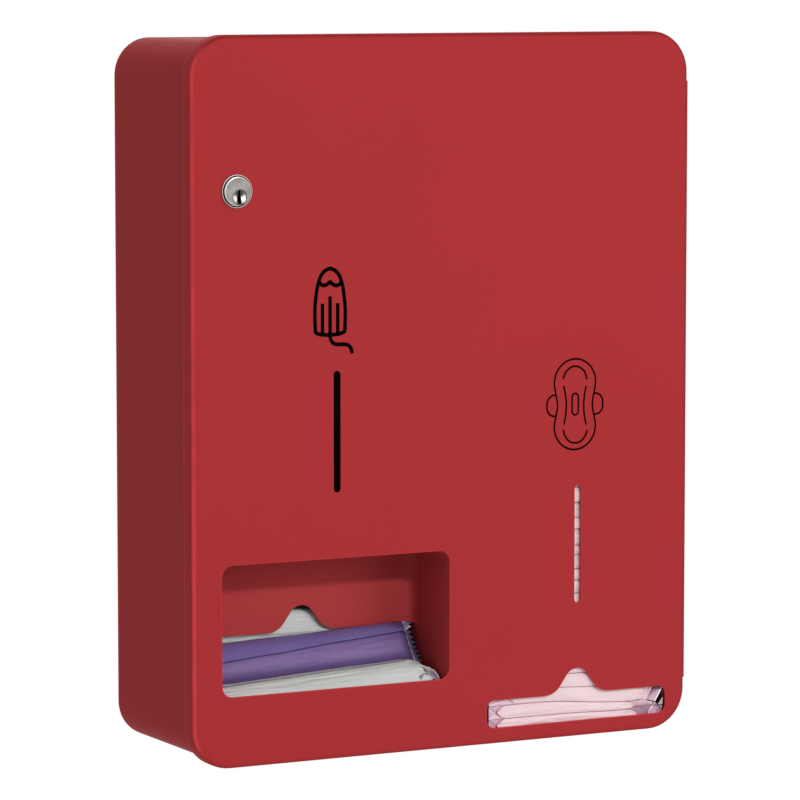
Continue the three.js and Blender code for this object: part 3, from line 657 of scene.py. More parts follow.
def door_skin():
    """The pan: its bend from the flat front, the cut rim, the inside of the bend, every hole."""
    sheet = Sheet()
    flat = sheet.ring(box_outline(door_box, -DOOR_BEND - WEAR_AND_LIGHT_BAND, 12), FRONT_Y)
    rings = [flat]
    for inset, depth, bent in quarter_turn(DOOR_BEND, 8):
        outline = box_outline(door_box, -inset, 12)
        # The left bend gets a painted highlight; the top and right bends get painted shade.
        bend_light_values = [bent ** 3 * painted_bend_light(x, z) for x, z in outline]
        rings.append(sheet.ring(outline, FRONT_Y + depth, bend_light_values))
    rings += sheet.pressing(door_box, [
        (0.0, DOOR_RIM_Y - 1.6, 0.1), (0.0, DOOR_RIM_Y - RIM_ROUND, 0.4),
        (RIM_MIDDLE, DOOR_RIM_Y - RIM_MIDDLE, 1.0), (RIM_ROUND, DOOR_RIM_Y, 1.0),
        (SHEET - RIM_ROUND, DOOR_RIM_Y, 1.0),
        (SHEET - RIM_MIDDLE, DOOR_RIM_Y - RIM_MIDDLE, 1.0),
        (SHEET, DOOR_RIM_Y - RIM_ROUND, 0.4),
    ] + [
        (SHEET + inset, DOOR_BACK_Y + depth, bent * 0.3)
        for inset, depth, bent in reversed(quarter_turn(DOOR_BEND - SHEET, 5))
    ], 12)
    sheet.skin(rings)
    front_holes, back_holes = [], []
    for hole in door_holes:
        rim = [sheet.ring(hole(grow), FRONT_Y) for grow in (WEAR_AND_LIGHT_BAND, RIM_BAND)]
        for grow, depth, _ in quarter_turn(RIM_ROUND, 3):
            rim.append(sheet.ring(hole(grow), FRONT_Y + depth, 0.35))
        for grow, depth, _ in reversed(quarter_turn(RIM_ROUND, 2)):
            rim.append(sheet.ring(hole(grow), DOOR_BACK_Y - depth, 0.6))
        sheet.skin(rim)
        front_holes.append(rim[0])
        back_holes.append(rim[-1])
    sheet.fill(flat, *front_holes)
    sheet.fill(rings[-1], *back_holes)
    return even_shading(sheet.piece("door_skin", red_coat))


door = stands_for(door_skin(), "door_panel")
print("door skin:", len(door.data.polygons), "faces")

# %% [markdown]
# ## The cabinet
#
# Behind the door is a sleeve of the same sheet with its front edge folded inwards as a 9 mm lip.
# The sleeve is again rings, all round the object. Below the pad window the lip has to be away, so
# a cutter takes it out there; a Boolean is the plain way to say that a tool removed metal.


# %% Cutters and Booleans
def prism(name, outline, material, start, end, along="Y"):
    """A closed prism along Y from points (x, z), or along X from points (y, z)."""
    sheet = Sheet()
    sheet.tube([
        sheet.loop([(u, at, v) if along == "Y" else (at, u, v) for u, v in outline])
        for at in (start, end)
    ])
    return sheet.piece(name, material)


def cut_by(piece, *cutters, operation="DIFFERENCE", keep_cutter_finish=False):
    """Cuts or joins closed meshes, then leaves a plain mesh."""
    for cutter in cutters:
        modifier = piece.modifiers.new("cut", "BOOLEAN")
        modifier.operation = operation
        modifier.solver = "EXACT"
        modifier.material_mode = "TRANSFER" if keep_cutter_finish else "INDEX"
        modifier.object = cutter
    plain_mesh(piece)
    for cutter in cutters:
        bpy.data.objects.remove(cutter)
    return piece


# %% The cabinet shell
CABINET_FRONT_Y = -96.4
LIP, LIP_FOLD = 9.0, 1.6
LIP_BACK_Y = CABINET_FRONT_Y + SHEET
CORNER = 0.5
cabinet_box = (-148.2, 148.2, -189.3, 189.3, 20.2)
gate_clearance = 0.7


def cabinet_shell():
    """The sleeve, from its rim on the wall round the lip and back, then the gate cut in the lip."""
    profile = [
        (RIM_ROUND, 0.0, 1.0), (RIM_MIDDLE, -RIM_MIDDLE, 1.0), (0.0, -RIM_ROUND, 0.4),
        (0.0, -3.0, 0.0), (0.0, CABINET_FRONT_Y + LIP_FOLD + 2.0, 0.0),
    ]
    profile += [
        (inset, CABINET_FRONT_Y + depth, bent)
        for inset, depth, bent in reversed(quarter_turn(LIP_FOLD, 6))
    ]
    profile += [
        (LIP - RIM_ROUND, CABINET_FRONT_Y, 0.4), (LIP, CABINET_FRONT_Y + RIM_ROUND, 1.0),
        (LIP, LIP_BACK_Y - RIM_ROUND, 1.0), (LIP - RIM_ROUND, LIP_BACK_Y, 0.4),
        (SHEET + CORNER, LIP_BACK_Y, 0.0), (SHEET, LIP_BACK_Y + CORNER, 0.0),
        (SHEET, -RIM_ROUND, 0.4), (SHEET - RIM_ROUND, 0.0, 1.0),
    ]
    sheet = Sheet()
    sheet.skin(sheet.pressing(cabinet_box, profile, 12), closed=True)
    shell = sheet.piece("cabinet_sleeve", red_coat)
    left, right, _, top, _ = pad_window
    opening = rectangle(left - gate_clearance, right + gate_clearance, -200, top)
    gate = prism("gate", opening, red_coat, -98, -95)
    bay = prism("bay", box_outline(cabinet_box, -SHEET, 12), red_coat, -99, -94.9)
    cut_by(gate, bay, operation="INTERSECT")
    return even_shading(cut_by(shell, gate), 40)


shell = stands_for(cabinet_shell(), "cabinet_shell")
print("cabinet shell:", len(shell.data.polygons), "faces")


# %% Pieces that keep the CAD's shape, with their edges rounded
def softened(name, node, material, radius=0.25):
    """A copy of a CAD mesh, merged, with small rounded edges."""
    sheet = Sheet()
    mesh = sheet.mesh
    mesh.from_mesh(frame["nodes"][node].data)
    bmesh.ops.remove_doubles(mesh, verts=mesh.verts, dist=0.002 * MM)
    bmesh.ops.dissolve_limit(
        mesh, angle_limit=math.radians(0.5), verts=mesh.verts, edges=mesh.edges,
        delimit={"NORMAL"})
    piece = sheet.piece(name, material)
    bevel = piece.modifiers.new("rounded_edges", "BEVEL")
    bevel.width = radius * MM
    bevel.segments = 2
    bevel.limit_method = "ANGLE"
    bevel.angle_limit = math.radians(35)
    bevel.miter_outer = "MITER_ARC"
    return stands_for(even_shading(plain_mesh(piece)), node)


for name, node, material in (
    ("back_plate", "back_panel", red_coat),
    ("tampon_magazine", "tampon_channel", zinc),
    ("tampon_column_front", "tampon_front_plate", zinc),
    ("pad_magazine", "pad_channel", zinc),
    ("pad_floor", "pad_tray", zinc),
    ("tampon_slope", "tampon_tray", liner_coat),
    ("strike_angle", "strike_bracket", zinc),
    ("cabinet_leaf", "cabinet_hinge_leaf", red_coat),
    ("door_leaf", "door_hinge_leaf", red_coat),
):
    made = softened(name, node, material)
    print(name, len(made.data.polygons), "faces")

# %% [markdown]
# ## The recess behind the tampon window
#
# A liner pressed like the door makes the pocket in which the next tampon lies. Its walls meet its
# back in a 7 mm fillet, which the photograph shows as a soft shadow round the back wall. The back
# ends in a throat with the same thumb notch as the door, and beside the throat the side walls run
# on as cheeks. It is made as the real one is: a pan first, then the cuts.

# %% Sizes of the recess
LINER_RIM_Y = -98.4
LINER_WALL = 1.5
LINER_BACK_Y = -55.5
LINER_FACE_Y = LINER_BACK_Y - LINER_WALL
LINER_FILLET = 7.0
liner_box = (-134.8, 3.8, -192.0, -82.7, 7.5)
inner_left, inner_right = liner_box[0] + LINER_WALL, liner_box[1] - LINER_WALL
throat_z = -129.0
tray_slope = math.radians(30.2)
tray_lip_z = -155.2
below_all = -195


def tray_height(y):
    """Height of the tampon tray's upper face at a depth."""
    return -176.4 + math.tan(tray_slope) * (y - FRONT_Y)


print("recess:", round(LINER_FACE_Y - FRONT_Y, 1), "mm deep")


# %% The recess liner
def recess_pan():
    """The pan: outside of the back, rim, inside of the back."""
    profile = [
        (inset, LINER_BACK_Y - depth, 0.0)
        for inset, depth, _ in quarter_turn(LINER_FILLET + LINER_WALL, 9)
    ]
    profile += [
        (0.0, LINER_RIM_Y + RIM_ROUND, 0.4), (RIM_ROUND, LINER_RIM_Y, 1.0),
        (LINER_WALL - RIM_ROUND, LINER_RIM_Y, 1.0), (LINER_WALL, LINER_RIM_Y + RIM_ROUND, 0.4),
        (LINER_WALL, LINER_RIM_Y + 4.0, 0.0),
    ]
    profile += [
        (LINER_WALL + inset, LINER_FACE_Y - depth, 0.0)
        for inset, depth, _ in reversed(quarter_turn(LINER_FILLET, 9))
    ]
    sheet = Sheet()
    sheet.tube(sheet.pressing(liner_box, profile, 8))
    return sheet.piece("recess_pocket", liner_coat)


def recess_liner():
    """The pan with cheeks added, then cut open below the tray and at the throat."""
    liner = recess_pan()
    bend_y, rear_y = LINER_FACE_Y - LINER_FILLET, LINER_BACK_Y + 3.0
    cheeks = [
        prism("cheek", rectangle(x0, x1, liner_box[2], throat_z), liner_coat,
              bend_y - LINER_WALL, LINER_BACK_Y)
        for x0, x1 in ((liner_box[0], inner_left), (inner_right, liner_box[1]))
    ]
    cut_by(liner, *cheeks, operation="UNION")
    front_y, lip_y = LINER_RIM_Y - 3, LINER_RIM_Y + SHEET + 0.3
    below_tray = prism("below_tray", [
        (front_y, tray_lip_z), (lip_y, tray_lip_z), (lip_y, tray_height(lip_y) + 0.3),
        (rear_y, tray_height(rear_y) + 0.3), (rear_y, below_all), (front_y, below_all),
    ], liner_coat, liner_box[0] - 3, liner_box[1] + 3, along="X")
    throat = prism("throat", [
        (inner_left, below_all), (inner_left, throat_z), *notch_outline(tampon_x, throat_z),
        (inner_right, throat_z), (inner_right, below_all),
    ], liner_coat, bend_y, rear_y)
    cut_by(liner, below_tray, throat)
    return even_shading(liner, 42)


liner = stands_for(recess_liner(), "recess_liner")
liner_size = [round(v) for v in liner.dimensions / MM]
print("recess liner:", len(liner.data.polygons), "faces, box", liner_size)

# %% [markdown]
# ## The lock
#
# The lock is a round die-cast face in a thin bright ring. Its plug lies low in the face and has a
# conical dish round the keyway. Both are turned shapes, so they are rings again, round two
# different centres; the flat of the face is filled between its rim and the plug's bore. Their
# rings carry painted highlights on the rims and painted shade in the groove, the bore and the
# dish. The keyway is cut last, and the cutter's near-black finish stays on the walls that it
# leaves, as painted shade deep in the slot.

# %% The lock's face
plug_x, plug_z = lock_x + 0.8, lock_z - 2.9
FACE_Y = -102.2
PLUG_FACE_Y = FACE_Y + 0.1
LOCK_BACK_Y = -83.0
plug_radius, barrel_radius = 3.9, 7.6


def turned(sheet, x, z, profile):
    """Rings round a centre from a profile of (radius, depth, edge)."""
    return [
        sheet.ring(circle_outline(x, z, radius, steps=64), y, edge) for radius, y, edge in profile
    ]


def lock_face():
    """Barrel, ring and face, with painted highlights on rims and painted shade in the groove, then
    the bore for the plug with painted shade on its wall.
    """
    sheet = Sheet()
    # Edge values: painted highlights on the ring's rim and the face's chamfer, painted shade in the
    # groove.
    outside = turned(sheet, lock_x, lock_z, [
        (barrel_radius, LOCK_BACK_Y, 0.0), (barrel_radius, -100.3, 0.0), (8.5, -100.3, 0.0),
        (8.7, -100.42, -0.3), (8.7, -100.74, 0.2), (8.62, -100.86, 0.5), (8.5, -100.9, 0.5),
        (8.32, -100.9, 0.2), (8.26, -100.86, -1.0), (8.2, -100.5, -1.0), (7.75, -100.5, -1.0),
        (7.72, -100.6, -1.0), (7.72, -101.6, -1.0), (7.68, -101.7, 0.9), (7.6, -101.8, 1.0),
        (7.3, -102.1, 1.0), (7.2, -102.17, 0.8), (7.12, FACE_Y, 0.2), (7.0, FACE_Y, 0.0),
    ])
    # Painted shade down the wall of the plug's bore.
    inside = turned(sheet, plug_x, plug_z, [
        (4.3, FACE_Y, 0.0), (4.12, FACE_Y, 0.0), (4.06, FACE_Y + 0.05, 0.2),
        (4.05, FACE_Y + 0.12, -0.6), (4.05, FACE_Y + 0.6, -1.0), (4.2, LOCK_BACK_Y, 0.0),
    ])
    sheet.skin(outside)
    sheet.skin(inside)
    sheet.fill(outside[-1], inside[0])
    sheet.fill(outside[0], inside[-1])
    return even_shading(sheet.piece("lock_face", nickel), 50)


stands_for(lock_face(), "lock_housing")


# %% The lock's plug and keyway
def dish_painted_light(angle):
    """Painted glints across the dish, left and right, and painted shade on its upper part."""
    glint = math.cos(2 * (angle + 0.25 * math.copysign(1, math.cos(angle))))
    return 1.7 * max(glint, 0.0) ** 1.5 - 0.75 * max(math.sin(angle), 0.0) ** 2


def keyway_outline(foot_z):
    """A keyway that is wide at its foot and narrow above."""
    wide, narrow, step_z, top_z = 1.1, 0.7, foot_z + 4.3, foot_z + 7.4
    right = [(wide, foot_z), (wide, step_z), (narrow, step_z), (narrow, top_z)]
    return ([(plug_x - wide, foot_z)] + [(plug_x + x, z) for x, z in right]
            + [(plug_x - x, z) for x, z in right[:0:-1]])


def lock_plug():
    """The plug with its dish, the square spigot for the cam, and the keyway."""
    dish_y = PLUG_FACE_Y + 0.8
    sheet = Sheet()
    # Edge values: painted shade on the plug's side and in the dish, a faint painted highlight on
    # its rim.
    rings = turned(sheet, plug_x, plug_z, [
        (plug_radius, LOCK_BACK_Y, 0.0), (plug_radius, PLUG_FACE_Y + 0.6, -1.0),
        (plug_radius, PLUG_FACE_Y + 0.1, -0.2), (plug_radius - 0.03, PLUG_FACE_Y + 0.03, 0.0),
        (plug_radius - 0.08, PLUG_FACE_Y, 0.1), (3.74, PLUG_FACE_Y, 0.1),
        (3.66, PLUG_FACE_Y + 0.03, 0.0), (3.4, PLUG_FACE_Y + 0.14, 0.0),
        (2.4, PLUG_FACE_Y + 0.5, 0.0), (1.58, dish_y - 0.06, -0.3), (1.5, dish_y, -0.5),
    ])
    # Painted glints and painted shade laid over the dish by angle.
    for ring in rings[-4:]:
        for k, vert in enumerate(ring):
            vert[sheet.edge] += dish_painted_light(2 * math.pi * k / len(ring))
    sheet.tube(rings)
    plug = sheet.piece("lock_plug_dished", nickel)
    plug.data.materials.append(keyway_shade)
    square = rectangle(plug_x - 2.4, plug_x + 2.4, plug_z - 2.4, plug_z + 2.4)
    cut_by(plug, prism("spigot", square, nickel, -84.0, -80.9), operation="UNION")
    # The keyway's walls keep the cutter's near-black finish: painted shade.
    keyway = prism("keyway", keyway_outline(plug_z - 3.7), keyway_shade, FACE_Y - 3, PLUG_FACE_Y + 12)
    cut_by(plug, keyway, keep_cutter_finish=True)
    return even_shading(plug, 50)


plug = stands_for(lock_plug(), "lock_plug")
print("plug materials:", [slot.material.name for slot in plug.material_slots])

# %% The lock's small parts, the hinge pin, nuts and bumpers
small_parts = [
    ("lock_nut_hex", "lock_nut", bright), ("lock_cam_bar", "lock_cam", zinc),
    ("cam_screw_pan", "cam_screw", bright), ("hinge_rod", "hinge_pin", bright),
]
for number, corner in enumerate(("upper_left", "lower_left", "upper_right", "lower_right"), 1):
    small_parts.append((f"nut_{corner}", f"channel_nut_{number}", bright))
small_parts += [(f"bumper_{number}", f"door_bumper_{number}", rubber) for number in range(1, 5)]
for name, node, material in small_parts:
    softened(name, node, material, radius=0.3)
print("small parts:", len(small_parts))

# %% [markdown]
# ## The wrapped tampons
#
# A wrapped tampon is a flat tube of film with a stick in it, pressed shut at both ends, where a hot
# jaw crimps it and a toothed knife cuts it off. A capsule would miss all of this. So each pack is a
# row of cross-sections along its length: a flat envelope as wide as the film, swollen in the middle
# by the stick, whose round ends show just before the seals. Long creases are pushed into the
# surface, deepest where the film gathers, and the front pack's end is folded over at a slant. Along
# the middle runs the film's lengthwise seal, a flap folded down flat.
#
# Soft packs give way to what they lie on. Every point of a pack is therefore kept clear of the
# tray, the recess's back wall and the next pack: what would go past is pressed almost flat.

# %% Sizes of a pack, and soft steps
pack_half = 66.0
stick_end = 58.5
seal_length, seal_film_half = 4.6, 0.22
crimp_pitch, crimp_height = 1.15, 0.2
tooth_depth = 2.0
flap_end, slanted_flap_end = 60.6, 50.0
rear_face = -54.3
film_gap = 0.2


def clamped(value):
    """A value kept from 0 to 1."""
    return min(max(value, 0.0), 1.0)


def smooth(share):
    """A soft step from 0 to 1."""
    share = clamped(share)
    return share * share * (3 - 2 * share)


def ridges(x, across, seed, along=0.05, density=0.45):
    """A height from -1 to 1 that runs in long ridges along a pack."""
    return 1.0 - 3.4 * abs(noise.noise(Vector((x * along, across * density, seed * 7.3))))


def zigzag(turns):
    """-1 to 1 and back, once each two turns."""
    return 2 * abs(turns % 2 - 1) - 1


def bell(value, middle, width):
    """1 at the middle, falling off to both sides."""
    return math.exp(-((value - middle) / width) ** 2)


# %% What a pack is kept clear of
def pressed(value, limit, side, give=0.06):
    """A coordinate kept above (1) or below (-1) a limit; what presses on it goes all but flat."""
    past = (limit - value) * side
    return limit - side * give * past if past > 0 else value


def on_the_tray(x, y, z):
    """The front pack lies on the sloping tray."""
    return x, y, pressed(z, tray_height(y) + 0.3, 1, 0.35)


def on_the_wall(x, y, z):
    """The middle pack leans on the recess's back wall, its round corner, and the rear pack."""
    face = rear_face
    if z > throat_z - 1.9:
        into_bend = min(max(x - (inner_right - LINER_FILLET), 0.0), LINER_FILLET)
        face = LINER_FACE_Y - LINER_FILLET + math.sqrt(LINER_FILLET ** 2 - into_bend ** 2)
    return x, pressed(y, face - film_gap, -1), z


def behind_the_wall(x, y, z):
    """The rear pack stands behind the wall and gives way to the middle pack below its foot."""
    below = clamped((throat_z - z) / 1.7)
    face = LINER_BACK_Y + (rear_face + film_gap - LINER_BACK_Y) * below
    return x, pressed(y, face, 1), z


# %% How a pack lies
class PackLay:
    """How a pack lies: its middle, its lean, its slope along the shelf and its own film."""

    def __init__(self, y, z, lean, slope, half_width, tall, seed, flap, clear, taper=5.5,
                 slant=0.0, left_seal=seal_length, belly=(2.2, 0.72), grooves=()):
        self.y, self.z, self.clear = y, z, clear
        self.lean, self.slope = math.radians(lean), math.radians(slope)
        self.half_width, self.tall, self.seed = half_width, tall, seed
        self.flap, self.taper, self.slant, self.left_seal = flap, taper, slant, left_seal
        self.belly, self.grooves = belly, grooves

    def swelling(self, x):
        """Half the thickness of the middle of the pack at a place along it."""
        taper = self.taper if x > 0 else 0.5 * self.left_seal
        end = stick_end if x > 0 else pack_half - self.left_seal + 0.4
        past = (abs(x) - (end - taper)) / (taper * 1.27)
        full = math.sqrt(max(1 - max(past, 0.0) ** 2, 0.0))
        soft = 0.18 * (1 - smooth((abs(x) - end) / 7.0))
        return self.tall * max(full, soft)

    def past_seal(self, x):
        """Whether a place along the pack lies in one of its two seals."""
        return abs(x) > pack_half - (seal_length if x > 0 else self.left_seal)

    def surface(self, x, across, side):
        """A point of the film at a place across the pack, on its upper (1) or lower (-1) side."""
        share = min(abs(across) / self.half_width, 1.0)
        belly = (1 - share ** self.belly[0]) ** self.belly[1]
        crease = (0.22 + 0.5 * bell(abs(x), stick_end + 0.5, 5.0)) * ridges(x, across, self.seed)
        crease += 0.14 * ridges(x, across, self.seed + 3, 0.15, 1.1)
        film = 0.25 + self.swelling(x) * belly + 0.45 * crease * (1 - share ** 4) * side
        film -= sum(0.3 * bell(across, groove, 0.45) for groove in self.grooves)
        crimp = 0.0
        if self.past_seal(x):
            film = seal_film_half
            crimp = crimp_height * math.sin(2 * math.pi * x / crimp_pitch)
        wave = 0.25 * math.sin(x / 17 + self.seed) * share
        flutter = 0.7 * smooth((abs(x) - stick_end) / 9.0) * math.sin(across / 4.6 + self.seed)
        if self.slant and x > 0:
            flutter += 0.45 * smooth((x - 47) / 12) * zigzag(across / 3.7 - x / 13)
            fold = max(across / self.half_width, 0.0) ** 1.5
            x -= self.slant * smooth((x - 36) / 30) * fold
        return x, across, side * film + wave + crimp + flutter

    def placed(self, point):
        """Turns a point of the pack to where it lies in the object."""
        x, across, up = point
        y = self.y + across * math.cos(self.lean) - up * math.sin(self.lean)
        z = self.z + across * math.sin(self.lean) + up * math.cos(self.lean)
        return self.clear(tampon_x + x, y, z + x * math.tan(self.slope))

    def flap_edge(self, x):
        """Where the flap's free edge lies across the pack; it drifts off line."""
        start, drift = self.flap
        return start + drift * (x + 50) / 104 + 0.2 * math.sin(x / 9.0)


lays = {
    "tampon_front": PackLay(
        -85.8, -156.4, 30.2, 3.1, 12.6, 7.4, 2, (4.6, 0.8), on_the_tray,
        taper=11.5, slant=6.5, left_seal=1.2, grooves=(7.4, 0.6)),
    "tampon_middle": PackLay(
        -63.2, -141.3, 52.0, 2.4, 13.0, 7.5, 5, (-2.8, 5.4), on_the_wall),
    "tampon_rear": PackLay(
        -46.1, -129.4, 80.0, -1.6, 12.2, 7.9, 9, (9.6, 0.3), behind_the_wall, belly=(5.0, 0.6)),
}
print("packs:", ", ".join(lays))


# %% Facets of folded film
def folded_film(sheet, points, faces=None, thickness=0.14):
    """Flat facets from points (x, y, z, edge), a fan unless faces are given, as a thin sheet."""
    faces = faces or [(0, k, k + 1) for k in range(1, len(points) - 1)]
    front, back, made, sides = [], [], [], {}
    for x, y, z, edge in points:
        for row, extra in ((front, 0.0), (back, thickness)):
            row += sheet.loop([(x, y + extra, z)], edge)
    for face in faces:
        made += [sheet.mesh.faces.new([row[k] for k in face]) for row in (front, back)]
        for k, n in zip(face, face[1:] + face[:1]):
            key = (min(k, n), max(k, n))
            sides[key] = sides.get(key, 0) + 1
    for (k, n), uses in sides.items():
        if uses == 1:
            made.append(sheet.mesh.faces.new((front[k], front[n], back[n], back[k])))
    for face in made:
        face.material_index = 1


# Facets at the ends of two packs: points are (x, across, height over the film, edge); the edge
# value paints a highlight or shade on each facet.
end_folds = {
    "tampon_white_front": [
        [(56.7, -0.5, 0.5, -0.5), (65.8, 0.5, 0.6, -0.9), (57.7, -4.9, 1.0, 0.1)],
        [(57.7, -4.9, 1.1, 0.5), (65.8, 0.4, 0.6, -0.1), (65.9, -5.7, 0.5, 0.4),
         (54.6, -6.6, 0.8, 0.8)],
        [(51.5, -7.4, 0.4, 1.0), (54.8, -6.3, 0.9, 1.0), (52.1, -9.0, 0.4, 1.0)],
        [(54.6, -6.8, 0.7, -0.4), (65.9, -5.9, 0.5, 0.2), (52.4, -9.2, 0.4, -0.3)],
        [(56.7, -0.1, 0.9, -1.0), (65.9, 1.0, 0.9, -1.0), (65.9, 0.3, 0.8, -1.0),
         (56.8, -0.8, 0.8, -1.0)],
        [(65.4, 0.8, 0.9, -1.0), (66.0, 0.6, 0.9, -1.0), (66.0, -5.8, 0.8, -1.0),
         (65.4, -5.6, 0.8, -1.0)],
    ],
    "tampon_violet": [
        [(61.7, 11.4, 0.5, 0.2), (65.4, 10.9, 0.6, 0.1), (61.0, 6.6, 0.5, 0.5)],
        [(63.4, 9.2, 0.8, 0.6), (65.8, 8.6, 0.7, 0.8), (61.6, 6.6, 0.7, 0.4)],
    ],
}
print("folds at the packs' ends:", sum(len(folds) for folds in end_folds.values()))

# %% The film of a pack
half_ring = 52  # steps across one side


def pack_stations():
    """Places along a pack, closest together in its seals."""
    stations, x = [], -pack_half
    while x <= pack_half + 1e-6:
        stations.append(x)
        at_seal = pack_half - abs(x) < seal_length + 0.4
        x += 0.23 if at_seal else (0.6 if abs(x) > stick_end - 12 else 1.4)
    return stations


def seal_shade(to_cut):
    """The edge value at a distance from the pack's cut end: painted light and shade across the
    crimped seal and a line at its inner edge, then painted shade where the film gathers.
    """
    if to_cut > seal_length:
        return 0.35 if to_cut < seal_length + 1.2 else 0.0
    return -0.9 if to_cut < 2.4 else (1.0 if 3.8 < to_cut < 4.3 else -0.4)


def film_ring(lay, x, violet):
    """The points once round a pack and their edge values."""
    to_cut = pack_half - abs(x)
    shade = seal_shade(to_cut) * (-0.2 if lay.slant else 1)
    points, edges = [], []
    for k in range(2 * half_ring):
        step = min(k, 2 * half_ring - k)
        side = 1 if k <= half_ring else -1
        across = lay.half_width * (1 - 2 * step / half_ring)
        px, pu, pv = lay.surface(x, across, side)
        if k in (0, half_ring):
            pv = (pv + lay.surface(x, across, -side)[2]) / 2
        tooth = abs(step / 3 % 2 - 1) * max(tooth_depth - to_cut / 1.2, 0.0)
        px -= 0.0 if lay.slant else math.copysign(tooth, x)
        points.append(lay.placed((px, pu, pv)))
        # On the violet pack: painted shadow along its lower edge, where the front pack covers it,
        # and painted shade towards its right end.
        if violet and to_cut > seal_length:
            dark = max(smooth((-6.5 - across) / 3.5), smooth((x - 51) / 8))
            edges.append(max(shade, 0.4 * dark))
        else:
            edges.append(shade)
    return points, edges


def film_pack(name, film, seal_film, lay):
    """One pack with its folds; seals and folds have the second finish and flat facets."""
    sheet = Sheet()
    violet = film == violet_film
    sheet.tube([sheet.loop(*film_ring(lay, x, violet)) for x in pack_stations()])
    for fold in end_folds.get(name, []):
        spots = []
        for x, across, height, edge in fold:
            px, pu, pv = lay.surface(x, across, 1)
            spots.append((*lay.placed((px, pu, pv + height)), edge))
        folded_film(sheet, spots)
    pack = sheet.piece(name, film)
    pack.data.materials.append(seal_film)
    for face in pack.data.polygons:
        x = face.center.x / MM - tampon_x
        if lay.past_seal(x) and not (lay.slant and x > 0):
            face.material_index = 1
        face.use_smooth = not (face.material_index == 1 or lay.slant and x > 42)
    return pack


# %% The lengthwise flap, and the three packs
flap_lifts = (0.95, 0.9, 0.8, 0.62, 0.5, 0.42, 0.38, 0.34, 0.3, 0.26, 0.2, 0.12)
flap_steps = 119


def lengthwise_flap(name, film, lay):
    """A thin closed strip from the free edge to the far edge, a little off the film under it."""
    sheet = Sheet()
    # dark is the strength of the painted shadow along the flap's free edge and on its underside.
    thin, dark = (0.75, 0.8) if film == white_film else (1.0, 1.0)
    last = slanted_flap_end if lay.slant else flap_end
    rings = []
    for step in range(flap_steps + 1):
        x = -flap_end + step * (last + flap_end) / flap_steps
        edge = lay.flap_edge(x)
        start = edge + 0.55
        across = [start + (lay.half_width - 0.3 - start) * k / 9 for k in range(10)]
        over = [lay.surface(x, spot, 1) for spot in (edge, edge + 0.3, *across)]
        top, under = (
            [(px, pu, pv + thin * lift + rise) for (px, pu, pv), lift in zip(over, flap_lifts)]
            for rise in (0.12, 0.0)
        )
        # Painted shade towards the violet flap's right end, where the film folds.
        shade = 0.6 * smooth((x - 46) / 12) if film == flap_film else 0.0
        edges = [dark, dark, *(shade * smooth(k / 6) for k in range(10)), *[dark] * 12]
        rings.append(sheet.loop([lay.placed(point) for point in top + under[::-1]], edges))
    sheet.tube(rings)
    return sheet.piece(name, film)


for name, node, film, seal_film in (
    ("tampon_white_front", "tampon_front", white_film, clear_seal),
    ("tampon_violet", "tampon_middle", violet_film, violet_foil),
    ("tampon_white_rear", "tampon_rear", white_film, clear_seal),
):
    pack = film_pack(name, film, seal_film, lays[node])
    stands_for(pack, node)
    flap = lengthwise_flap(
        name + "_flap", flap_film if film == violet_film else film, lays[node])
    belongs_to(flap, node)
    print(name, len(pack.data.polygons), "faces, flap", len(flap.data.polygons))

# %% [markdown]
# ## Embossed dots
#
# The wheel that seals the flap has rows of small pins, which leave rows of tiny raised dots in the
# film. Over two hundred dots are one dot repeated, so they are not modelled one by one: a mesh of
# bare points says where they are, and a Geometry Nodes group puts a low dome on each.


# %% Geometry Nodes groups
class Nodes(Graph):
    """A Geometry Nodes group in the making."""

    def __init__(self, name, inputs):
        super().__init__(bpy.data.node_groups.new(name, "GeometryNodeTree"))
        interface = self.tree.interface
        interface.new_socket("Geometry", in_out="OUTPUT", socket_type="NodeSocketGeometry")
        interface.new_socket("Geometry", in_out="INPUT", socket_type="NodeSocketGeometry")
        self.sockets = {}
        for label, kind in inputs.items():
            socket = interface.new_socket(label, in_out="INPUT", socket_type=f"NodeSocket{kind}")
            self.sockets[label] = socket.identifier
        self.group_in = self.tree.nodes.new("NodeGroupInput")

    def given(self, label):
        """One of the group's own inputs."""
        return Signal(self, self.group_in.outputs[label])

    def end(self, geometry):
        """Ends the group: copies become real, and all of it gets the finish."""
        realized = self.add("GeometryNodeRealizeInstances", {}, {"Geometry": geometry})
        painted = self.add("GeometryNodeSetMaterial", {}, {
            "Geometry": realized, "Material": self.given("Material"),
        })
        self.add("NodeGroupOutput", {}, {"Geometry": painted}, out=None)

    def applied(self, piece, **values):
        """Runs the group on points or paths once and keeps its result as a plain mesh."""
        modifier = piece.modifiers.new("nodes", "NODES")
        modifier.node_group = self.tree
        for label, value in values.items():
            modifier[self.sockets[label.replace("_", " ")]] = value
        name, data = piece.name, evaluated_mesh(piece)
        bpy.data.objects.remove(piece)
        return link(bpy.data.objects.new(name, data))


# %% A dome on every point
dome_dots = Nodes("dome_dots", {"Dot radius": "Float", "Seed": "Int", "Material": "Material"})
dome = dome_dots.add("GeometryNodeMeshUVSphere", {}, {
    "Segments": 8, "Rings": 5, "Radius": dome_dots.given("Dot radius"),
})
soft_dome = dome_dots.add("GeometryNodeSetShadeSmooth", {}, {"Geometry": dome})
spots = dome_dots.add("GeometryNodeMeshToPoints", {}, {"Mesh": dome_dots.given("Geometry")})
dot_size = dome_dots.add("FunctionNodeRandomValue", {"data_type": "FLOAT"}, {
    2: 0.75, 3: 1.15, "Seed": dome_dots.given("Seed"),
}, out=1)
dome_dots.end(dome_dots.add("GeometryNodeInstanceOnPoints", {}, {
    "Points": spots, "Instance": soft_dome, "Scale": dot_size,
}))


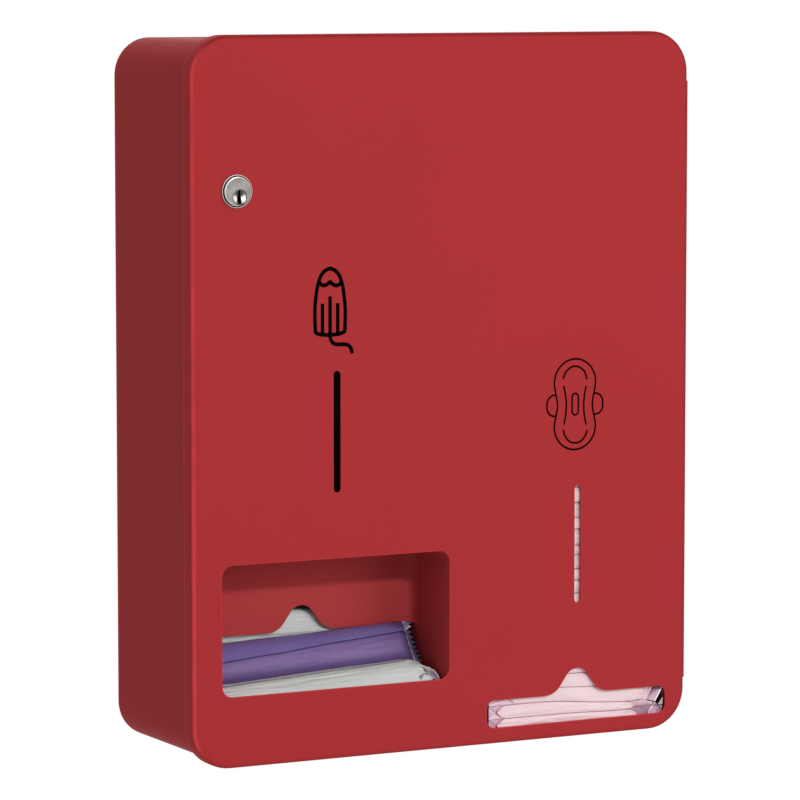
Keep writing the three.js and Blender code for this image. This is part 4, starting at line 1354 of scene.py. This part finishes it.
def embossed_dots(name, film, node, rows=4, pitch=1.9):
    """Rows of dots on the flap, just above its free edge, every second row half a pitch along."""
    lay = lays[node]
    points = []
    for row in range(rows):
        x = -57.0 + (row % 2) * pitch / 2
        while x < 50.0:
            px, pu, pv = lay.surface(x, lay.flap_edge(x) + 1.3 + row * 1.2, 1)
            points.append(Vector(lay.placed((px, pu, pv + 0.78 - 0.08 * row))) * MM)
            x += pitch
    data = bpy.data.meshes.new(name)
    data.from_pydata(points, [], [])
    bare_points = link(bpy.data.objects.new(name, data))
    dots = dome_dots.applied(bare_points, Dot_radius=0.33 * MM, Seed=4, Material=film)
    print(name, len(points), "dots,", len(dots.data.polygons), "faces")
    return belongs_to(dots, node)


embossed_dots("tampon_violet_dots", dot_film, "tampon_middle")

# %% [markdown]
# ## The wrapped pads
#
# A folded pad in its wrapper is a flat pillow, 7 mm thick, pressed on by those above it. Its front
# is a slightly crowned band with a soft seam to the next, and the seams wander, because a stack of
# soft things never lies level. Shade is painted into the seams and into the pillow's narrowing
# ends. At the ends the film is folded as on a parcel: sharp flat facets, thin enough to see
# through. The pillow is a row of sections; the folds are a few facets that zigzag in depth, left
# unsmoothed so that each catches the light on its own, and carry painted glints and painted shade.

# %% Where the pads lie
pad_front, pad_back = -97.9, -9.9
pad_left, pad_right = 32.3, 118.3
pad_pitch, pad_base_z, pad_gap = 7.3, -186.3, 0.06
seam_gap = 0.15
left_tip, left_tail = 27.7, 5.2
# By the pad's number in the stack, from 0: places where the stack sags, or a pad is longer.
sag_to_right = {1: 1.2, 2: 3.9, 3: 1.4, 4: 0.6}
sag_at_slot = {12: 1.2, 13: 0.7, 14: 2.8, 15: 1.2, 16: 2.0, 17: 1.1}
body_starts = {2: 40.0}
body_ends = {0: 119.6, 1: 117.4, 2: 124.2}
end_droop = {2: 1.9}


def seam_height(index, x):
    """Height of the seam under a pad, counted from 0, at a place along it."""
    sag = sag_to_right.get(index, 0.0) * smooth((x - 60) / 56)
    sag += sag_at_slot.get(index, 0.0) * bell(x, pad_x, 24)
    wander = 0.22 * noise.noise(Vector((x * 0.05, index * 4.7, 0.0))) if index else 0.0
    return pad_base_z - seam_gap + index * pad_pitch - sag + wander


def pad_stations(start, body_end):
    """Places along a pad, closest together at its two ends."""
    stations = [start + 0.2 + k * 0.45 for k in range(10)]
    while stations[-1] < body_end - 9.9:
        stations.append(stations[-1] + 1.6)
    return stations + [body_end - 8.2 + k * 0.5 for k in range(20)]


print("seams at the right:", [round(seam_height(index, 118.0), 1) for index in range(5)])


# %% The pillow of a pad
def pillow_section(bottom, top):
    """A rounded rectangle of (y, z) points, finer on its front, with painted shade near the seams.
    """
    rounding = min(0.45, (top - bottom) * 0.42)
    near, far = pad_front + rounding, pad_back - rounding
    low, high = bottom + rounding, top - rounding
    arcs = [
        arc(y, z, rounding, QUARTER * (quarter + 1), QUARTER * quarter, 4)
        for y, z, quarter in ((near, low, 2), (near, high, 1), (far, high, 0), (far, low, 3))
    ]
    # Painted shade in the seams, strongest at the corners beside them.
    shades = ([0.9, 0.7, 0.35, 0.0, 0.0], [0.0, 0.0, 0.35, 0.7, 0.9], [0.0] * 5, [0.0] * 5)
    points, edges = [], []
    for turn, steps in enumerate((14, 18, 6, 18)):
        start, end = arcs[turn][-1], arcs[(turn + 1) % 4][0]
        points += arcs[turn]
        points += [
            tuple(a + (b - a) * k / steps for a, b in zip(start, end)) for k in range(1, steps)
        ]
        edges += shades[turn] + [0.0] * (steps - 1)
    return points, edges


def creased(x, y, z, v, index, out, full):
    """A point of a pillow with its crown and creases; v is -1 at the lower seam, 1 at the upper."""
    crease = noise.noise(Vector((x * 0.045, v * 1.1, index * 3.1)))
    if y < pad_front + 0.5:
        fine = noise.noise(Vector((x * 0.16, v * 2.6, index * 5.7)))
        y += 0.55 * v * v + out + 0.45 * crease + 0.3 * fine
    elif y > pad_back - 0.5:
        y -= 0.5 * v * v + 0.3 * crease
    else:
        top_crease = ridges(x, y * 0.3, index + 2, 0.05, 0.7)
        z -= math.copysign(0.12 + 0.1 * top_crease + 0.12 * crease, v) * full
    return x, min(max(y, pad_front), pad_back), z


def pad_pillow(sheet, index, start, body_end, out):
    """The pillow of one pad, between its own seam and the next."""
    rings = []
    for x in pad_stations(start, body_end):
        left = clamped((x - start) / 4.6) ** 0.8
        right = math.sqrt(max(1 - max((x - body_end + 5.6) / 6.9, 0.0) ** 2, 0.0))
        at_right = right < left
        full = max(min(left, right), 0.06)
        bottom, top = seam_height(index, x) + pad_gap, seam_height(index + 1, x) - pad_gap
        droop = end_droop.get(index, 0.6) if at_right else 0.0
        middle, half = (bottom + top) / 2 - droop * (1 - full), (top - bottom) / 2
        section, edges = pillow_section(middle - half * full, middle + half * full)
        points = [creased(x, y, z, (z - middle) / half, index, out, full) for y, z in section]
        # Painted shade where the pillow narrows at its ends, more at the right.
        at_end = (0.5 if at_right else 0.1) * (1 - full)
        rings.append(sheet.loop(points, [max(value, at_end) for value in edges]))
    sheet.tube(rings)


# %% The parcel folds at a pad's ends
# Three tails as the photograph shows them, by pad: points are (x, z, depth behind the front, edge).
# The edge value paints shade on a facet where positive and a glint where negative.
right_folds = {
    2: [
        ([(121.5, -165.2, 2.9, 0.1), (130.0, -165.2, 1.9, 0.2), (130.2, -169.5, 1.6, 0.2),
          (126.0, -175.7, 0.6, -0.3), (120.0, -175.7, 2.9, 0.1)],),
        ([(129.9, -169.0, 1.1, -0.6), (130.4, -169.3, 1.0, -0.6), (126.4, -175.8, 0.35, -0.6),
          (126.0, -175.5, 0.4, -0.6)],),
        ([(136.7, -169.6, 1.6, 0.1), (132.0, -176.7, 0.6, -0.2), (126.7, -175.9, 3.2, 0.8),
          (130.6, -168.8, 5.2, 1.0)],),
        ([(136.8, -168.9, 1.2, -1.0), (137.5, -169.4, 0.8, -1.0), (132.3, -177.1, 0.3, -1.0),
          (131.7, -176.9, 0.4, -1.0)],),
    ],
    1: [
        ([(115.8, -175.9, 2.2, -0.1), (125.6, -175.8, 0.7, -0.3), (131.3, -177.3, 0.9, -0.8),
          (130.4, -179.0, 1.1, 0.2), (129.0, -178.0, 1.0, 0.3), (116.0, -179.6, 2.4, 0.3)],
         [(0, 1, 5), (1, 4, 5), (1, 2, 4), (2, 3, 4)]),
        ([(116.2, -179.4, 2.5, 0.3), (129.1, -178.0, 1.2, 0.6), (130.6, -179.3, 1.4, 0.4)],),
        ([(132.1, -177.2, 0.9, -0.1), (134.9, -179.3, 1.8, 0.2), (131.0, -179.2, 1.0, 0.0)],),
        ([(137.7, -174.9, 0.9, -0.9), (137.7, -179.2, 1.2, -0.5), (135.2, -179.3, 2.2, -0.1)],),
    ],
    0: [
        ([(124.4, -179.7, 2.6, 0.6), (130.4, -179.5, 1.4, 0.5), (127.9, -184.9, 1.6, 0.9),
          (117.4, -185.2, 3.0, 0.3), (117.0, -179.9, 3.2, 0.2)],),
        ([(130.5, -179.2, 0.8, -1.0), (131.0, -179.3, 0.5, -1.0), (129.0, -182.2, 0.4, -1.0),
          (128.4, -184.9, 0.5, -1.0), (127.8, -184.9, 0.9, -0.9), (128.5, -182.1, 0.8, -1.0)],
         [(0, 1, 2, 5), (2, 3, 4, 5)]),
        ([(135.0, -179.8, 1.9, 0.3), (137.3, -182.4, 1.3, -0.2), (136.4, -185.4, 1.4, 0.2),
          (128.8, -185.0, 1.1, 0.0), (131.0, -179.6, 1.2, -0.1)],),
        ([(135.6, -179.7, 2.2, 0.1), (137.6, -179.7, 1.5, -0.3), (137.6, -182.0, 1.3, 0.0)],),
    ],
}


def pad_folds(sheet, points, faces=None):
    """Facets on a pad from points (x, z, depth behind the front, edge); edge paints shade or a
    glint.
    """
    folded_film(sheet, [(x, pad_front + deep, z, edge) for x, z, deep, edge in points], faces)


def left_fold(sheet, index, start):
    """The film folded in from four sides, as an X, between the pad's two seams."""
    tail = start + left_tail
    low = max(seam_height(index, x) for x in (30, tail))
    high = min(seam_height(index + 1, x) for x in (30, tail))
    middle, heart = (low + high) / 2, start + 0.9
    pad_folds(sheet, [
        (left_tip, high - 0.1, 0.8, -0.1), (tail, high - 0.1, 1.1, 0.1),
        (tail, low + 0.1, 1.2, 0.2), (left_tip, low + 0.1, 0.9, 0.15),
        (heart, middle, 1.7, -0.05),
    ], [(0, 1, 4), (2, 3, 4), (3, 0, 4)])
    x, inner_x = left_tip + 0.2, heart - 1.5
    # Two thin strips along the X: one with painted shade, one with a painted glint.
    for z, edge in ((high - 0.3, 0.9), (low + 0.7, -1.0)):
        inner_z = z + (middle - z) / (heart - x) * (inner_x - x)
        pad_folds(sheet, [
            (x, z, 0.6, edge), (inner_x, inner_z, 1.3, edge), (inner_x, inner_z - 0.35, 1.3, edge),
            (x, z - 0.4, 0.6, edge),
        ])


def right_fold(sheet, index, body_end, rng):
    """The long tail of folded film; the three pads in the window have the photographed folds."""
    if index in right_folds:
        for fold in right_folds[index]:
            pad_folds(sheet, *fold)
        return
    low, high = seam_height(index, 125), seam_height(index + 1, 125)
    upper, lower, inner = (x + rng.uniform(-1.5, 1.5) for x in (126, 127, 122.5))
    # Each facet's edge value paints it lighter or darker.
    pad_folds(sheet, [
        (body_end - 1.0, high - 0.3, 0.9, -0.3), (upper, high - 0.6, 2.8, 0.4),
        (134.8, high - 1.2, 0.9, -0.5), (135.2, low + 1.2, 2.4, 0.5),
        (lower, low + 0.5, 0.7, -0.2), (body_end - 0.8, low + 0.3, 1.0, 0.2),
        (inner, (low + high) / 2, 3.2, 0.6),
    ], [(0, 1, 6), (6, 1, 4), (1, 2, 4), (2, 3, 4), (0, 6, 5), (5, 6, 4)])


print("folds drawn one by one:", {index: len(folds) for index, folds in right_folds.items()})


# %% The stack of pads
def wrapped_pad(name, index):
    """One pad: its pillow and the folds at both ends, as one piece."""
    rng = random.Random(index + 40)
    out = rng.uniform(0.0, 0.5)
    body_end = body_ends.get(index, pad_right + rng.uniform(-2.0, 1.0))
    start = body_starts.get(index, pad_left)
    sheet = Sheet()
    pad_pillow(sheet, index, start, body_end, out)
    left_fold(sheet, index, start)
    right_fold(sheet, index, body_end, rng)
    pad = sheet.piece(name, pink_film)
    pad.data.materials.append(tail_film)
    return pad


for index in range(19):
    node = f"pad_{index + 1:02d}"
    pad = wrapped_pad(f"wrapped_{node}", index)
    stands_for(pad, node)
print("pads:", index + 1, "of", len(pad.data.polygons), "faces")

# %% [markdown]
# ## The two printed pictures
#
# Beside the sight slots the front shows, in plain black line, what each side gives. They are
# generic signs. Each line is a path and a width, so Geometry Nodes draw it: the path is swept with
# a thin flat profile, then stood up on the door's face. The ink is 0.06 mm thick: 0.05 mm of it
# stands proud and 0.01 mm is sunk into the paint, so that no gap shows.


# %% A node group that turns a path into a printed line
INK_HEIGHT, INK_MIDDLE_Y = 0.06, FRONT_Y - 0.02

printed_line = Nodes("printed_line", {
    "Line width": "Float", "Ink height": "Float", "Face depth": "Float", "Material": "Material",
})
profile = printed_line.add("GeometryNodeCurvePrimitiveQuadrilateral", {"mode": "RECTANGLE"}, {
    "Width": printed_line.given("Line width"), "Height": printed_line.given("Ink height"),
})
flat_path = printed_line.add("GeometryNodeSetCurveNormal", {"mode": "Z_UP"}, {
    "Curve": printed_line.given("Geometry"),
})
line = printed_line.add("GeometryNodeCurveToMesh", {}, {
    "Curve": flat_path, "Profile Curve": profile, "Fill Caps": True,
})
depth = printed_line.add("ShaderNodeCombineXYZ", {}, {"Y": printed_line.given("Face depth")})
printed_line.end(printed_line.add("GeometryNodeTransform", {}, {
    "Geometry": line, "Translation": depth, "Rotation": (QUARTER, 0.0, 0.0),
}))


def printed(name, closed_paths, open_paths, width):
    """Printed lines of one width along paths of (x, z) points in millimetres."""
    data = bpy.data.curves.new(name, "CURVE")
    data.dimensions = "3D"
    for number, points in enumerate(closed_paths + open_paths):
        spline = data.splines.new("POLY")
        spline.points.add(len(points) - 1)
        for point, (x, z) in zip(spline.points, points):
            point.co = (x * MM, z * MM, 0.0, 1.0)
        spline.use_cyclic_u = number < len(closed_paths)
    piece = printed_line.applied(
        link(bpy.data.objects.new(name, data)), Line_width=width * MM, Ink_height=INK_HEIGHT * MM,
        Face_depth=INK_MIDDLE_Y * MM, Material=ink)
    print(name, len(piece.data.polygons), "faces")
    return belongs_to(piece, "door_panel")


def moved(points, x, side=1):
    """Points shifted sideways by x, and mirrored first where the side is -1."""
    return [(x + side * px, z) for px, z in points]


def smooth_path(points, steps=8):
    """A smooth line through points: between two of them it is a cubic led by their neighbours."""
    padded = [points[0], *points, points[-1]]
    path = []
    for a, b, c, d in zip(padded, padded[1:], padded[2:], padded[3:]):
        for t in (step / steps for step in range(steps)):
            path.append(tuple(
                0.5 * (2 * b[i] + (c[i] - a[i]) * t
                       + (2 * a[i] - 5 * b[i] + 4 * c[i] - d[i]) * t * t
                       + (3 * b[i] - a[i] - 3 * c[i] + d[i]) * t ** 3)
                for i in (0, 1)))
    return path + [points[-1]]


# %% The picture of a tampon
sign_x = -69.7
right_side = smooth_path([
    (0.0, 69.4), (2.9, 68.3), (5.2, 65.9), (6.7, 62.5), (7.8, 58.0), (8.6, 52.0), (8.95, 46.5),
    (8.85, 41.0), (8.6, 35.9)]) + smooth_path([(8.6, 35.9), (5.6, 34.8), (0.0, 34.3)])[1:]
body_line = moved(right_side + [(-x, z) for x, z in reversed(right_side[1:-1])], sign_x)
collar = smooth_path([
    (-76.2, 62.7), (-74.9, 61.1), (-73.1, 60.6), (-71.1, 61.3), (-69.7, 62.3), (-68.2, 61.1),
    (-66.1, 60.3), (-64.2, 60.9), (-62.8, 62.2)])
grooves = [[(x, top), (x, foot)]
           for x, top, foot in ((-74.2, 51.0, 35.0), (-65.2, 51.0, 35.0), (sign_x, 54.7, 34.4))]
cord = smooth_path([
    (-69.7, 33.6), (-69.2, 31.6), (-67.6, 29.8), (-65.2, 29.2), (-62.8, 29.15), (-60.5, 29.0),
    (-58.7, 28.3), (-57.4, 26.8), (-56.6, 24.1)])
printed("print_tampon", [body_line], [collar, *grooves, cord], 2.1)

# %% The picture of a pad
mid_x = 79.1
waist = smooth_path([
    (12.9, 2.4), (12.6, 0.0), (11.8, -4.1), (11.1, -7.2), (10.9, -9.5), (11.1, -11.8),
    (11.8, -15.2), (12.6, -18.9), (12.9, -21.0)], 5)
half_outline = arc(0.0, 2.5, 12.9, QUARTER, 0.0, 14) + waist[1:-1]
half_outline += arc(0.0, -21.1, 12.9, 0.0, -QUARTER, 14)
outline = moved(half_outline, mid_x) + moved(half_outline, mid_x, -1)[::-1][1:-1]
capsule = arc(0.15, -5.35, 1.95, math.pi, 0.0, 8) + arc(0.15, -13.15, 1.95, 0.0, -math.pi, 8)
inner_lines = [smooth_path(points) for points in (
    [(-7.5, 4.7), (-5.9, 8.3), (-3.0, 10.7), (0.0, 11.4), (3.1, 10.6), (6.0, 8.1), (7.4, 4.0)],
    [(-7.3, -22.8), (-6.0, -26.6), (-3.1, -29.6), (0.2, -30.4), (3.4, -29.8), (6.4, -27.0),
     (7.8, -23.6)],
    [(-7.1, 1.0), (-5.9, -4.4), (-5.4, -9.5), (-5.8, -15.0), (-6.8, -20.2)],
    [(7.0, 0.3), (5.9, -5.0), (5.5, -10.0), (5.9, -15.6), (7.1, -20.9)],
)]
wing = smooth_path([
    (11.9, -3.8), (14.0, -4.0), (16.0, -5.2), (17.3, -7.4), (17.4, -9.6), (17.3, -11.8),
    (16.0, -14.0), (14.0, -15.1), (11.8, -15.3)])
open_lines = [moved(line, mid_x) for line in inner_lines]
open_lines += [moved(wing, mid_x, side) for side in (1, -1)]
printed("print_pad", [outline, moved(capsule, mid_x)], open_lines, 1.0)

# %% [markdown]
# ## Light
#
# The photograph has one small, fairly hard light in front and a little to the right, high enough to
# put a shadow across the top of the recess, in a room that is bright all round and brightest at
# the right. So there is one small key lamp, a large soft lamp at the right, a weak lamp above and
# an even world light. The camera, mirrors and clear film see a white world, so the background is
# white without more light on the object. The floor far below glows faintly, so that it keeps its
# pale colour in a view from above.

# %% World
world = bpy.data.worlds.new("studio")
bpy.context.scene.world = world
world.use_nodes = True
studio = Graph(world.node_tree)
rays = studio.tree.nodes.new("ShaderNodeLightPath")
camera_ray, mirror_ray, clear_ray = (
    Signal(studio, rays.outputs[f"Is {kind} Ray"]) for kind in ("Camera", "Glossy", "Transmission")
)
white_share = studio.add("ShaderNodeMath", {"operation": "ADD", "use_clamp": True}, {
    0: camera_ray + mirror_ray, 1: clear_ray,
})
room, paper = (
    studio.add("ShaderNodeBackground", {}, {"Color": colour, "Strength": strength})
    for colour, strength in (((1.0, 0.99, 0.98, 1.0), 0.46), ((1.0, 1.0, 1.0, 1.0), 1.0))
)
sky = studio.add("ShaderNodeMixShader", {}, {0: white_share, 1: room, 2: paper})
studio.add("ShaderNodeOutputWorld", {}, {"Surface": sky}, out=None)
print("world:", world.name, "with", len(world.node_tree.nodes), "nodes")


# %% Lamps
def lamp(name, power, width, height, azimuth, elevation, distance):
    """An area lamp that looks at the middle of the door; angles in degrees, sizes in metres."""
    data = bpy.data.lights.new(name, "AREA")
    data.shape = "RECTANGLE"
    data.size, data.size_y = width, height
    data.energy = power
    toward = direction(math.radians(azimuth), math.radians(elevation))
    piece = link(bpy.data.objects.new(name, data))
    piece.location = Vector((0.0, FRONT_Y * MM, 0.0)) + toward * distance
    look_along(piece, -toward)
    print(name, power, "W")


lamp("key_lamp", 17.5, 0.12, 0.12, 2.0, 23.5, 2.2)
lamp("soft_lamp", 14.0, 1.1, 1.1, 34.0, 12.0, 2.4)
lamp("top_lamp", 5.0, 1.2, 0.6, 0.0, 80.0, 1.6)

# %% Floor
pale_floor = grained("pale_floor", 3.0, 3.0, (236, 236, 234), (230, 230, 229), 0.6, 0.1, 0.2,
                     Emission_Color=linear(255, 255, 253), Emission_Strength=0.12)
floor_z, floor_half = -1.2, 3
floor_data = bpy.data.meshes.new("floor")
corners = rectangle(-floor_half, floor_half, -floor_half, floor_half)
floor_data.from_pydata([(x, y, floor_z) for x, y in corners], [], [(0, 1, 2, 3)])
floor_data.materials.append(pale_floor)
floor = link(bpy.data.objects.new("floor", floor_data))
print("floor at", floor_z, "m")
